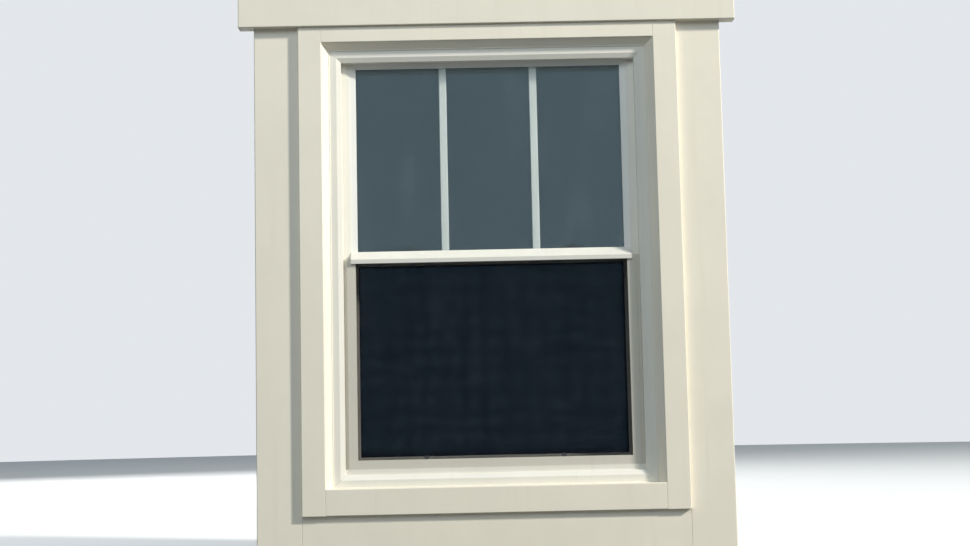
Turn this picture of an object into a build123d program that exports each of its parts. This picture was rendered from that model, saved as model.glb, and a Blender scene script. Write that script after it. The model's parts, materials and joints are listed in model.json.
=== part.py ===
"""Single-hung sash window in a boxed-out painted surround.

X runs along the wall, Y from the street into the house, Z up, all in millimetres.
The origin is the middle of the rough sill's back face, in the plane of the wall.
Depths in the sections below are counted from the front of the flat casing boards.
"""

import os
from math import cos, pi, sin

from build123d import *

# Overall sizes of the window unit and of the surround
FRAME_W = 884.0
FRAME_H = 1184.0
PROJECTION = 170.0
FLANGE_DEPTH = 11.0

# Boards of the surround
BUCK_T = 38.0
SHIM_GAP = 6.0
CASING_W = 113.5
CASING_T = 19.0
RETURN_T = 19.0
TRIM_W = 60.0
TRIM_BOTTOM_W = 66.0
TRIM_T = 23.0
TRIM_LAP_SIDE = 17.0
TRIM_LAP_HEAD = 16.5
TRIM_LAP_SILL = 32.5
TRIM_HEAD_W = 41.0
HEADER_H = 89.0
HEADER_T = 39.0
HEADER_OVERHANG = 38.0
STOP_W = 17.0
STOP_REVEAL = 3.0
STOP_EDGE = 1.5
EDGE_EASE = 2.0

# Section of the welded frame, inward from its outer edge
FLANGE_W = 52.5
LIP_W = 12.0
LIP_FALL = 5.0
REBATE_DEPTH = 23.0
JAMB_FACE_W = 19.0
JAMB_FACE_FALL = 4.0
RIB_IN = 10.5
RIB_T = 13.5
POCKET_IN = 19.5
BACK_WALL = 4.5
WELD_INSET = 1.0
MOUTH_T = 13.0
MOUTH_IN = 4.0
CHANNEL_T = 23.0
CHANNEL_IN = 32.0
FIN_IN = 6.5
HEAD_BODY_W = 60.0
HEAD_RIB_W = 77.0
SILL_STEP_H = 79.0
SILL_STEP_BACK = 11.0
SILL_FALL = 2.0
SILL_SEAT_H = 70.0
SILL_UPSTAND_H = 85.0
SILL_DAM_H = 85.0

# Fixed meeting rail
RAIL_TOP = 656.0
RAIL_FACE_H = 32.0
RAIL_NOSE_H = 10.5
RAIL_NOSE_OUT = 22.0
RAIL_SEAT_DROP = 16.0
RAIL_POCKET_H = 12.0
RAIL_WALL = 4.0

# Sealed glass units
PANE_T = 3.0
GLASS_GAP = 13.0
GLAZING_GAP = 0.5
SPACER_H = 8.0
BEAD_REVEAL = 2.0
BEAD_T = 7.0
BEAD_FALL = 3.0
BEAD_W = 16.5
GLASS_EDGE = 4.0
GRILLE_W = 19.0
GRILLE_T = 6.0
GRILLE_BEVEL = 1.2
GRILLE_BARS = 2

# Lower sash
SASH_SIDE_GAP = 4.0
SASH_FACE_GAP = 1.0
SASH_BACK_GAP = 1.5
SASH_SEAT_GAP = 1.0
STILE_W = 31.0
BOTTOM_RAIL_H = 36.0
CHECK_RAIL_H = 34.0
SASH_LIP = 5.0
SIGHT_BEVEL = 3.0
SASH_BITE = 13.0
SASH_GLASS_EDGE = 3.0
SASH_BEAD_T = 4.0
SASH_BEAD_FALL = 3.0
LIFT_OUT = 12.0
LIFT_T = 2.0
LIFT_UP = 5.0
LIFT_CLEAR = 2.5
PILE_INSET = 13.0
PILE_W = 6.0
PILE_SEAT = 2.0
PILE_OUT = 0.6
PILE_END = 12.0
SEAL_W = 8.0
SEAL_SEAT = 2.0
SEAL_OUT = 0.7
SEAL_END = 6.0
STRIP_FIT = 0.05

# Locks, keepers and tilt latches
LOCK_X = 212.0
LOCK_L = 58.0
LOCK_W = 24.0
LOCK_H = 12.0
LOCK_CORNER_R = 10.0
LOCK_EDGE_R = 2.0
LOCK_SETBACK = 2.0
LOCK_SHAFT_R = 4.0
LOCK_FIT = 0.05
TONGUE_R = 19.5
TONGUE_W = 12.0
TONGUE_T = 3.0
TONGUE_LIFT = 3.5
TONGUE_ROOM = 1.0
TONGUE_CLEAR = 0.5
TONGUE_SIDE = 8.0
HUB_R = 7.0
BOSS_R = 8.0
LEVER_W = 10.0
LEVER_L = 30.0
LEVER_T = 6.0
LEVER_END_R = 3.0
LEVER_GAP = 0.3
KEEPER_L = 36.0
KEEPER_T = 1.5
KEEPER_H = 9.5
KEEPER_SET = 0.5
SCREW_R = 1.6
SCREW_L = 14.0
SCREW_HEAD_R = 3.0
SCREW_HEAD_T = 1.6
SCREW_FIT = 0.03
SCREW_SLOT_W = 0.8
SCREW_SLOT_L = 3.6
SCREW_SLOT_T = 0.9
LOCK_SCREW_OUT = 25.0
KEEPER_SCREW_OUT = 13.0
LATCH_L = 62.0
LATCH_W = 10.6
LATCH_H = 6.0
LATCH_OUT = 11.0
LATCH_TRAVEL = 11.0
LATCH_FIT = 0.3
THUMB_L = 12.0
THUMB_END = 4.0
THUMB_H = 3.0
THUMB_SIDE = 1.0
THUMB_BEVEL = 1.0

# Balances
SHOE_H = 54.0
SHOE_FIT = 0.8
SHOE_BEVEL = 2.0
PIVOT_L = 78.0
PIVOT_END = 12.0
PIVOT_H = 8.0
PIVOT_T = 5.0
PIVOT_Z = 8.0
PIVOT_FIT = 0.1
TUBE_R = 8.0
TUBE_WALL = 1.0
TUBE_L = 500.0
TUBE_PLUG = 3.0
ROD_W = 8.0
ROD_T = 2.0
ROD_PITCH = 120.0
ROD_ENTRY = 40.0
ROD_STEPS = 8

# Insect screen over the lower half
SCREEN_BAR_W = 22.0
SCREEN_TOP_W = 11.0
SCREEN_T = 8.5
SCREEN_WALL = 1.0
SCREEN_EDGE_GAP = 9.0
SCREEN_SETBACK = 8.0
SCREEN_LIP_SET = 5.0
SCREEN_LIP_T = 1.6
SCREEN_LIP_BITE = 2.5
SCREEN_GROOVE_FIT = 0.9
SCREEN_GROOVE_END = 2.5
SCREEN_REST = 0.2
SCREEN_TOP_GAP = 0.5
SPLINE_SET = 3.0
SPLINE_W = 3.6
SPLINE_IN = 3.4
SPLINE_R = 1.7
SPLINE_SIDES = 10
MESH_T = 0.3
MESH_LAP = 3.0
KEY_L = 26.0
KEY_FIT = 0.05
TAB_W = 12.0
TAB_H = 9.0
TAB_SET = 1.0
TAB_BEVEL = 2.0

# Places worked out from the sizes above
FACE_Y = -PROJECTION
FRAME_Z0 = BUCK_T / 2 + SHIM_GAP
FRAME_Z1 = FRAME_Z0 + FRAME_H
HALF_FRAME = FRAME_W / 2
OPEN_HALF = HALF_FRAME - TRIM_LAP_SIDE
OPEN_Z0 = FRAME_Z0 + TRIM_LAP_SILL
OPEN_Z1 = FRAME_Z1 - TRIM_LAP_HEAD
TRIM_HALF = OPEN_HALF + TRIM_W
TRIM_Z0 = OPEN_Z0 - TRIM_BOTTOM_W
CASING_HALF = TRIM_HALF + CASING_W
CASING_Z0 = TRIM_Z0 - CASING_W
HEADER_Z0 = OPEN_Z1 + TRIM_HEAD_W
LIP_EDGE = FLANGE_W + LIP_W
TRACK_DEPTH = FLANGE_DEPTH + REBATE_DEPTH
JAMB_EDGE = LIP_EDGE + JAMB_FACE_W
JAMB_HALF = HALF_FRAME - JAMB_EDGE
UNIT_T = 2 * PANE_T + GLASS_GAP
SASH_T = SASH_LIP + UNIT_T + SASH_BEAD_T
POCKET_T = SASH_FACE_GAP + SASH_T + SASH_BACK_GAP
BEAD_D0 = TRACK_DEPTH + JAMB_FACE_FALL + BEAD_REVEAL
BEAD_D1 = BEAD_D0 + BEAD_T
RIB_D0 = BEAD_D1 + UNIT_T + GLAZING_GAP
RIB_D1 = RIB_D0 + RIB_T
POCKET_D1 = RIB_D1 + POCKET_T
FRAME_BACK = POCKET_D1 + BACK_WALL
CHANNEL_D0 = RIB_D1 + (POCKET_T - CHANNEL_T) / 2
MOUTH_D0 = RIB_D1 + (POCKET_T - MOUTH_T) / 2
CHANNEL_MID = CHANNEL_D0 + CHANNEL_T / 2
MOUTH_X = JAMB_HALF + POCKET_IN
CHANNEL_X0 = MOUTH_X + MOUTH_IN
CHANNEL_X1 = CHANNEL_X0 + CHANNEL_IN
SASH_HALF = MOUTH_X - SASH_SIDE_GAP
SASH_D0 = RIB_D1 + SASH_FACE_GAP
SASH_D1 = SASH_D0 + SASH_T
SASH_Z0 = FRAME_Z0 + SILL_SEAT_H + SASH_SEAT_GAP
SASH_Z1 = RAIL_TOP
GLASS_HALF = SASH_HALF - STILE_W
GLASS_Z0 = SASH_Z0 + BOTTOM_RAIL_H
GLASS_Z1 = SASH_Z1 - CHECK_RAIL_H
SCREEN_HALF = HALF_FRAME - LIP_EDGE - SCREEN_EDGE_GAP
SCREEN_D0 = FLANGE_DEPTH + LIP_FALL + SCREEN_SETBACK
SCREEN_D1 = SCREEN_D0 + SCREEN_T
SCREEN_LIP_D0 = SCREEN_D0 + SCREEN_LIP_SET
SCREEN_Z0 = FRAME_Z0 + SILL_STEP_H + SCREEN_REST
SCREEN_Z1 = RAIL_TOP - RAIL_FACE_H + RAIL_POCKET_H - SCREEN_TOP_GAP
SCREEN_INNER = SCREEN_HALF - SCREEN_BAR_W
SPLINE_MID = SPLINE_SET + SPLINE_W / 2
LIFT_Z0 = FRAME_Z0 + SILL_DAM_H + LIFT_CLEAR
LOCK_D = SASH_D0 + LOCK_SETBACK + LOCK_W / 2
NEAR = 0.01
PAST = 1.0


def across(outline, x0, x1):
    """A bar along X with a (depth, z) outline."""
    corners = [(x0, FACE_Y + d, z) for d, z in outline]
    return extrude(make_face(Polyline(*corners, close=True)), amount=x1 - x0, dir=(1, 0, 0))


def upright(outline, z0, z1):
    """A bar along Z with an (x, depth) outline."""
    corners = [(x, FACE_Y + d, z0) for x, d in outline]
    return extrude(make_face(Polyline(*corners, close=True)), amount=z1 - z0, dir=(0, 0, 1))


def through(outline, d0, d1):
    """A plate facing the street with an (x, z) outline."""
    corners = [(x, FACE_Y + d0, z) for x, z in outline]
    return extrude(make_face(Polyline(*corners, close=True)), amount=d1 - d0, dir=(0, 1, 0))


def block(x0, x1, d0, d1, z0, z1):
    """A square block between two corners."""
    return through([(x0, z0), (x1, z0), (x1, z1), (x0, z1)], d0, d1)


def mirrored(shape):
    """The same piece on the other side of the window."""
    return mirror(shape, about=Plane.YZ)


def eased(board, axis, radius, front):
    """Rounds the long front edges of a board, as its metal wrap does."""
    edges = board.edges().filter_by(axis)
    near = [e for e in edges if abs(e.center().Y - front) < NEAR]
    return fillet(near, radius)


def ring(outline, half, z0, z1):
    """A four-sided frame with mitred corners; the outline is (inward, depth)."""
    left, right, foot, head = mitred_bars(outline, half, z0, z1)
    return left + right + foot + head


def mitred_bars(outline, half, z0, z1):
    """The left, right, foot and head of a mitred frame; the outline is (inward, depth)."""
    reach = max(u for u, _ in outline) + PAST
    d0 = min(d for _, d in outline) - PAST
    d1 = max(d for _, d in outline) + PAST
    left = upright([(-half + u, d) for u, d in outline], z0, z1)
    left &= through(
        [(-half, z0), (-half + reach, z0 + reach), (-half + reach, z1 - reach), (-half, z1)],
        d0,
        d1,
    )
    foot = across([(d, z0 + u) for u, d in outline], -half, half)
    foot &= through(
        [(-half, z0), (half, z0), (half - reach, z0 + reach), (-half + reach, z0 + reach)],
        d0,
        d1,
    )
    head = mirror(foot, about=Plane.XY.offset((z0 + z1) / 2))
    return left, mirrored(left), foot, head


def capped_bars(outline, half, z0, z1):
    """The left side and the head of a frame that is mitred at the top and square at the foot."""
    reach = max(u for u, _ in outline) + PAST
    d0 = min(d for _, d in outline) - PAST
    d1 = max(d for _, d in outline) + PAST
    left = upright([(-half + u, d) for u, d in outline], z0, z1)
    left &= through(
        [(-half, z0), (-half + reach, z0), (-half + reach, z1 - reach), (-half, z1)], d0, d1
    )
    head = across([(d, z1 - u) for u, d in outline], -half, half)
    head &= through(
        [(-half, z1), (half, z1), (half - reach, z1 - reach), (-half + reach, z1 - reach)],
        d0,
        d1,
    )
    return left, head


def box_frame(half, z0, z1, width, d0, d1):
    """A plain rectangular frame of one board width."""
    outer = block(-half, half, d0, d1, z0, z1)
    return outer - block(-half + width, half - width, d0 - PAST, d1 + PAST, z0 + width, z1 - width)


def casing():
    """Flat boards round the opening: two full-height legs with the foot between them."""
    leg = block(-CASING_HALF, -TRIM_HALF, 0, CASING_T, CASING_Z0, HEADER_Z0)
    leg = eased(leg, Axis.Z, EDGE_EASE, FACE_Y)
    foot = block(-TRIM_HALF, TRIM_HALF, 0, CASING_T, CASING_Z0, TRIM_Z0)
    foot = eased(foot, Axis.X, EDGE_EASE, FACE_Y)
    return {"casing_left": leg, "casing_right": mirrored(leg), "casing_bottom": foot}


def raised_trim():
    """The proud picture frame inside the casing."""
    front = FLANGE_DEPTH - TRIM_T
    leg = block(-TRIM_HALF, -OPEN_HALF, front, FLANGE_DEPTH, TRIM_Z0, HEADER_Z0)
    leg = eased(leg, Axis.Z, EDGE_EASE, FACE_Y + front)
    foot = block(-OPEN_HALF, OPEN_HALF, front, FLANGE_DEPTH, TRIM_Z0, OPEN_Z0)
    foot = eased(foot, Axis.X, EDGE_EASE, FACE_Y + front)
    head = block(-OPEN_HALF, OPEN_HALF, front, FLANGE_DEPTH, OPEN_Z1, HEADER_Z0)
    head = eased(head, Axis.X, EDGE_EASE, FACE_Y + front)
    return {"trim_left": leg, "trim_right": mirrored(leg), "trim_bottom": foot, "trim_head": head}


def header():
    """The thick board over the window that overhangs the casing at both ends."""
    half = CASING_HALF + HEADER_OVERHANG
    board = block(-half, half, CASING_T - HEADER_T, CASING_T, HEADER_Z0, HEADER_Z0 + HEADER_H)
    front = FACE_Y + CASING_T - HEADER_T
    near = [e for e in board.edges() if abs(e.center().Y - front) < NEAR]
    return {"header_board": fillet(near, EDGE_EASE)}


def bevelled_stops():
    """Sloping strips that close the step from the trim down to the frame's face."""
    front = FLANGE_DEPTH - TRIM_T + STOP_REVEAL
    back = FLANGE_DEPTH
    outline = [(0, front), (0, back), (STOP_W, back), (STOP_W, back - STOP_EDGE)]
    side, head = capped_bars(outline, OPEN_HALF, OPEN_Z0, OPEN_Z1)
    return {"stop_left": side, "stop_right": mirrored(side), "stop_head": head}


def surround_box():
    """Rough boards round the frame and the outer skin that closes the box to the wall."""
    buck_in = HALF_FRAME + SHIM_GAP
    head_z = FRAME_Z1 + SHIM_GAP
    jamb = block(-TRIM_HALF, -buck_in, FLANGE_DEPTH, PROJECTION, BUCK_T / 2, head_z)
    sill = block(-TRIM_HALF, TRIM_HALF, CASING_T, PROJECTION, -BUCK_T / 2, BUCK_T / 2)
    head = block(-TRIM_HALF, TRIM_HALF, FLANGE_DEPTH, PROJECTION, head_z, HEADER_Z0)
    skin_in = CASING_HALF - RETURN_T
    side = block(-CASING_HALF, -skin_in, CASING_T, PROJECTION, CASING_Z0, HEADER_Z0)
    foot = block(-skin_in, skin_in, CASING_T, PROJECTION, CASING_Z0, CASING_Z0 + RETURN_T)
    top = block(-CASING_HALF, CASING_HALF, CASING_T, PROJECTION, HEADER_Z0, HEADER_Z0 + RETURN_T)
    return {
        "buck_left": jamb,
        "buck_right": mirrored(jamb),
        "buck_sill": sill,
        "buck_head": head,
        "return_left": side,
        "return_right": mirrored(side),
        "return_bottom": foot,
        "return_top": top,
    }


def jamb_outline():
    """The side of the welded frame: screen rebate, lite rebate, rib, sash pocket and channel."""
    back = FRAME_BACK
    pocket = JAMB_EDGE - POCKET_IN
    mouth = pocket - MOUTH_IN
    floor = mouth - CHANNEL_IN
    mouth_d1 = MOUTH_D0 + MOUTH_T
    channel_d1 = CHANNEL_D0 + CHANNEL_T
    return [
        (0, TRACK_DEPTH),
        (LIP_EDGE, TRACK_DEPTH),
        (JAMB_EDGE, TRACK_DEPTH + JAMB_FACE_FALL),
        (JAMB_EDGE, RIB_D0),
        (JAMB_EDGE + RIB_IN, RIB_D0),
        (JAMB_EDGE + RIB_IN, RIB_D1),
        (pocket, RIB_D1),
        (pocket, MOUTH_D0),
        (mouth, MOUTH_D0),
        (mouth, CHANNEL_D0),
        (floor, CHANNEL_D0),
        (floor, channel_d1),
        (mouth, channel_d1),
        (mouth, mouth_d1),
        (pocket, mouth_d1),
        (pocket, POCKET_D1),
        (JAMB_EDGE + FIN_IN, POCKET_D1),
        (JAMB_EDGE + FIN_IN, back),
        (0, back),
    ]


def head_outline():
    """The top of the welded frame, as (depth, height down from its outer edge)."""
    return [
        (TRACK_DEPTH, 0),
        (TRACK_DEPTH, HEAD_BODY_W),
        (RIB_D0, HEAD_BODY_W),
        (RIB_D0, HEAD_RIB_W),
        (RIB_D1, HEAD_RIB_W),
        (RIB_D1, LIP_EDGE),
        (POCKET_D1, LIP_EDGE),
        (POCKET_D1, HEAD_RIB_W),
        (FRAME_BACK, HEAD_RIB_W),
        (FRAME_BACK, 0),
    ]


def sill_outline():
    """The bottom of the welded frame, as (depth, height up from its outer edge)."""
    step = FLANGE_DEPTH + SILL_STEP_BACK
    return [
        (step, 0),
        (step, SILL_STEP_H),
        (TRACK_DEPTH, SILL_STEP_H),
        (RIB_D0, SILL_STEP_H + SILL_FALL),
        (RIB_D0, SILL_UPSTAND_H),
        (RIB_D1, SILL_UPSTAND_H),
        (RIB_D1, SILL_SEAT_H),
        (POCKET_D1, SILL_SEAT_H),
        (POCKET_D1, SILL_DAM_H),
        (FRAME_BACK, SILL_DAM_H),
        (FRAME_BACK, 0),
    ]


def main_frame():
    """One welded frame: a mitred flange and lip all round, with jambs, head and sill behind."""
    flange = [
        (0, FLANGE_DEPTH),
        (FLANGE_W, FLANGE_DEPTH),
        (LIP_EDGE, FLANGE_DEPTH + LIP_FALL),
        (LIP_EDGE, TRACK_DEPTH),
        (0, TRACK_DEPTH),
    ]
    body = ring(flange, HALF_FRAME, FRAME_Z0, FRAME_Z1)
    jamb = upright([(-HALF_FRAME + u, d) for u, d in jamb_outline()], FRAME_Z0, FRAME_Z1)
    inner = HALF_FRAME - JAMB_EDGE
    edge = HALF_FRAME - WELD_INSET
    head = across([(d, FRAME_Z1 - v) for d, v in head_outline()], -inner, inner)
    sill_half = HALF_FRAME - LIP_EDGE
    front = [(d, FRAME_Z0 + v) for d, v in sill_outline()]
    sill = across(front, -inner, inner)
    step = block(
        -sill_half,
        sill_half,
        FLANGE_DEPTH + SILL_STEP_BACK,
        TRACK_DEPTH + JAMB_FACE_FALL,
        FRAME_Z0 + WELD_INSET,
        FRAME_Z0 + SILL_STEP_H,
    )
    cap = across([(d, FRAME_Z1 - v) for d, v in pocket_cap()], -edge, edge)
    seat = across([(d, FRAME_Z0 + v) for d, v in pocket_seat()], -edge, edge)
    body = body + jamb + mirrored(jamb) + head + sill + step + cap + seat
    groove = block(
        -sill_half - SCREEN_LIP_BITE - SCREEN_GROOVE_END,
        -sill_half + PAST,
        SCREEN_LIP_D0 - SCREEN_GROOVE_FIT,
        SCREEN_LIP_D0 + SCREEN_LIP_T + SCREEN_GROOVE_FIT,
        FRAME_Z0 + SILL_STEP_H,
        FRAME_Z1 - LIP_EDGE,
    )
    return {"main_frame": body - groove - mirrored(groove)}


def box_outline(v0, v1):
    """A square block's outline from the rib to the frame's back, as (depth, height)."""
    return [(RIB_D0, v0), (RIB_D0, v1), (FRAME_BACK, v1), (FRAME_BACK, v0)]


def pocket_cap():
    """Closes the tops of both sash pockets, where the head is welded to the jambs."""
    return box_outline(WELD_INSET, HEAD_BODY_W)


def pocket_seat():
    """Closes the feet of both sash pockets, where the sill is welded to the jambs."""
    return box_outline(WELD_INSET, SILL_SEAT_H)


def meeting_rail():
    """The fixed rail between the lites: sloping nose, screen pocket, glazing seat and lock ledge."""
    z0 = RAIL_TOP - RAIL_FACE_H
    nose = BEAD_D0 - RAIL_NOSE_OUT
    seat = RAIL_TOP - RAIL_SEAT_DROP
    front = [
        (BEAD_D0, RAIL_TOP),
        (nose, z0 + RAIL_NOSE_H),
        (nose, z0),
        (nose + RAIL_WALL, z0),
        (nose + RAIL_WALL, z0 + RAIL_POCKET_H),
        (TRACK_DEPTH, z0 + RAIL_POCKET_H),
        (TRACK_DEPTH, z0),
        (RIB_D0, z0),
        (RIB_D0, seat),
        (BEAD_D1, seat),
        (BEAD_D1, RAIL_TOP),
    ]
    ledge = [(RIB_D0, z0), (RIB_D0, RAIL_TOP), (RIB_D1, RAIL_TOP), (RIB_D1, z0)]
    rib_half = JAMB_HALF - RIB_IN
    rail = across(front, -JAMB_HALF, JAMB_HALF) + across(ledge, -rib_half, rib_half)
    for hole in keeper_screw_places(SCREW_FIT):
        rail -= hole
    return {"meeting_rail": rail}


def glass_unit(prefix, half, z0, z1, d0):
    """Two panes with a spacer between their edges."""
    outer = block(-half, half, d0, d0 + PANE_T, z0, z1)
    gap0 = d0 + PANE_T
    inner = block(-half, half, gap0 + GLASS_GAP, gap0 + GLASS_GAP + PANE_T, z0, z1)
    spacer = box_frame(half, z0, z1, SPACER_H, gap0, gap0 + GLASS_GAP)
    return {
        f"{prefix}_glass_outer": outer,
        f"{prefix}_glass_inner": inner,
        f"{prefix}_spacer": spacer,
    }


def upper_lite():
    """The fixed glass over the meeting rail, with its grille bars and bevelled beads."""
    half = JAMB_HALF - GLASS_EDGE
    z0 = RAIL_TOP - RAIL_SEAT_DROP + GLASS_EDGE
    z1 = FRAME_Z1 - HEAD_BODY_W - GLASS_EDGE
    pieces = glass_unit("upper", half, z0, z1, BEAD_D1)
    middle = BEAD_D1 + UNIT_T / 2
    sight = JAMB_HALF - BEAD_W
    pitch = (2 * sight - GRILLE_BARS * GRILLE_W) / (GRILLE_BARS + 1) + GRILLE_W
    for index, side in enumerate(("left", "right")):
        x = pitch * (index - (GRILLE_BARS - 1) / 2)
        bar = block(
            x - GRILLE_W / 2,
            x + GRILLE_W / 2,
            middle - GRILLE_T / 2,
            middle + GRILLE_T / 2,
            z0 + SPACER_H,
            z1 - SPACER_H,
        )
        pieces[f"grille_bar_{side}"] = chamfer(bar.edges().filter_by(Axis.Z), GRILLE_BEVEL)
    bead = [(0, BEAD_D0), (BEAD_W, BEAD_D0 + BEAD_FALL), (BEAD_W, BEAD_D1), (0, BEAD_D1)]
    top = FRAME_Z1 - HEAD_BODY_W
    side, head = capped_bars(bead, JAMB_HALF, RAIL_TOP, top)
    pieces.update({"bead_left": side, "bead_right": mirrored(side), "bead_head": head})
    return pieces


def lower_sash():
    """The welded sash: glazing lip outside, lift lip inside, slots for latches and pivot bars."""
    body = block(-SASH_HALF, SASH_HALF, SASH_D0, SASH_D1, SASH_Z0, SASH_Z1)
    body -= block(-GLASS_HALF, GLASS_HALF, SASH_D0 - PAST, SASH_D1 + PAST, GLASS_Z0, GLASS_Z1)
    seat_half = GLASS_HALF + SASH_BITE
    seat0 = GLASS_Z0 - SASH_BITE
    seat1 = GLASS_Z1 + SASH_BITE
    body -= block(-seat_half, seat_half, SASH_D0 + SASH_LIP, SASH_D1 + PAST, seat0, seat1)
    front = [e for e in body.edges() if abs(e.center().Y - FACE_Y - SASH_D0) < NEAR]
    sight = [
        e
        for e in front
        if abs(e.center().X) <= GLASS_HALF + NEAR
        and GLASS_Z0 - NEAR <= e.center().Z <= GLASS_Z1 + NEAR
    ]
    body = chamfer(sight, SIGHT_BEVEL)
    lift = [
        (SASH_D1 - NEAR, LIFT_Z0),
        (SASH_D1 + LIFT_OUT, LIFT_Z0),
        (SASH_D1 + LIFT_OUT, LIFT_Z0 + LIFT_T + LIFT_UP),
        (SASH_D1 + LIFT_OUT - LIFT_T, LIFT_Z0 + LIFT_T + LIFT_UP),
        (SASH_D1 + LIFT_OUT - LIFT_T, LIFT_Z0 + LIFT_T),
        (SASH_D1 - NEAR, LIFT_Z0 + LIFT_T),
    ]
    body += across(lift, -GLASS_HALF / 2, GLASS_HALF / 2)
    fit = LATCH_FIT
    latch = block(
        -SASH_HALF - PAST,
        -SASH_HALF + LATCH_L + LATCH_TRAVEL + fit,
        CHANNEL_MID - LATCH_W / 2 - fit,
        CHANNEL_MID + LATCH_W / 2 + fit,
        SASH_Z1 - LATCH_H - fit,
        SASH_Z1 + PAST,
    )
    slot = block(
        -SASH_HALF - PAST,
        -SASH_HALF + PIVOT_L + PIVOT_FIT,
        CHANNEL_MID - PIVOT_T / 2 - PIVOT_FIT,
        CHANNEL_MID + PIVOT_T / 2 + PIVOT_FIT,
        SASH_Z0 + PIVOT_Z - PIVOT_FIT,
        SASH_Z0 + PIVOT_Z + PIVOT_H + PIVOT_FIT,
    )
    body = body - latch - mirrored(latch) - slot - mirrored(slot)
    for cut in (*pile_strips(STRIP_FIT), seal_strip(STRIP_FIT), *lock_screw_places(SCREW_FIT)):
        body -= cut
    pieces = {
        "lower_sash": body,
        "sash_pile": Compound(children=pile_strips(0)),
        "sill_seal": seal_strip(0),
    }
    glass_half = seat_half - SASH_GLASS_EDGE
    unit0 = SASH_D0 + SASH_LIP
    pieces.update(
        glass_unit("lower", glass_half, seat0 + SASH_GLASS_EDGE, seat1 - SASH_GLASS_EDGE, unit0)
    )
    bead_d0 = unit0 + UNIT_T
    slope = SASH_BITE - SASH_BEAD_FALL
    rim = [(0, bead_d0), (0, SASH_D1), (slope, SASH_D1), (SASH_BITE, bead_d0)]
    beads = mitred_bars(rim, seat_half, seat0, seat1)
    pieces["sash_beads"] = Compound(children=list(beads))
    return pieces


def pile_strips(fit):
    """The brush strips in the stiles' street faces, or their grooves when given a fit."""
    d0 = SASH_D0 - PILE_OUT
    d1 = SASH_D0 + PILE_SEAT + fit
    x = -SASH_HALF + PILE_INSET
    half = PILE_W / 2 + fit
    end = PILE_END - fit
    left = block(x - half, x + half, d0, d1, SASH_Z0 + end, SASH_Z1 - end)
    return [left, mirrored(left)]


def seal_strip(fit):
    """The rubber strip under the bottom rail, or its groove when given a fit."""
    half = SASH_HALF - SEAL_END + fit
    z1 = SASH_Z0 + SEAL_SEAT + fit
    mid = (SASH_D0 + SASH_D1) / 2
    d0 = mid - SEAL_W / 2 - fit
    d1 = mid + SEAL_W / 2 + fit
    strip = block(-half, half, d0, d1, SASH_Z0 - SEAL_OUT, z1)
    low = [e for e in strip.edges().filter_by(Axis.X) if e.center().Z < SASH_Z0]
    return chamfer(low, SEAL_OUT)


def screw(x, d, z, fit):
    """A pan-head screw seated at z with its slot across, or its hole when given a fit."""
    body = rod_z(x, d, SCREW_R + fit, z - SCREW_L - fit, z + SCREW_HEAD_T)
    if fit:
        return body
    head = rod_z(x, d, SCREW_HEAD_R, z, z + SCREW_HEAD_T)
    head = fillet(head.edges().sort_by(Axis.Z)[-1], SCREW_HEAD_T / 2)
    top = z + SCREW_HEAD_T
    reach = SCREW_SLOT_L / 2
    half = SCREW_SLOT_W / 2
    cross = block(x - reach, x + reach, d - half, d + half, top - SCREW_SLOT_T, top + PAST)
    cross += block(x - half, x + half, d - reach, d + reach, top - SCREW_SLOT_T, top + PAST)
    return rod_z(x, d, SCREW_R, z - SCREW_L, z) + head - cross


def lock_screw_places(fit):
    """The four screws that hold the locks to the check rail, or their holes."""
    z = SASH_Z1 + LOCK_H
    return [
        screw(side * LOCK_X + out * LOCK_SCREW_OUT, LOCK_D, z - SCREW_HEAD_T, fit)
        for side in (-1, 1)
        for out in (-1, 1)
    ]


def keeper_screw_places(fit):
    """The four screws that hold the keepers to the fixed rail, or their holes."""
    mid = (RIB_D0 + KEEPER_SET + KEEPER_T + RIB_D1 - KEEPER_SET) / 2
    return [
        screw(side * LOCK_X + out * KEEPER_SCREW_OUT, mid, RAIL_TOP + KEEPER_T, fit)
        for side in (-1, 1)
        for out in (-1, 1)
    ]


def rod_z(x, d, radius, z0, z1):
    """An upright round bar at x and depth d."""
    bar = Cylinder(radius, z1 - z0, align=(Align.CENTER, Align.CENTER, Align.MIN))
    return Pos(x, FACE_Y + d, z0) * bar


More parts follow.
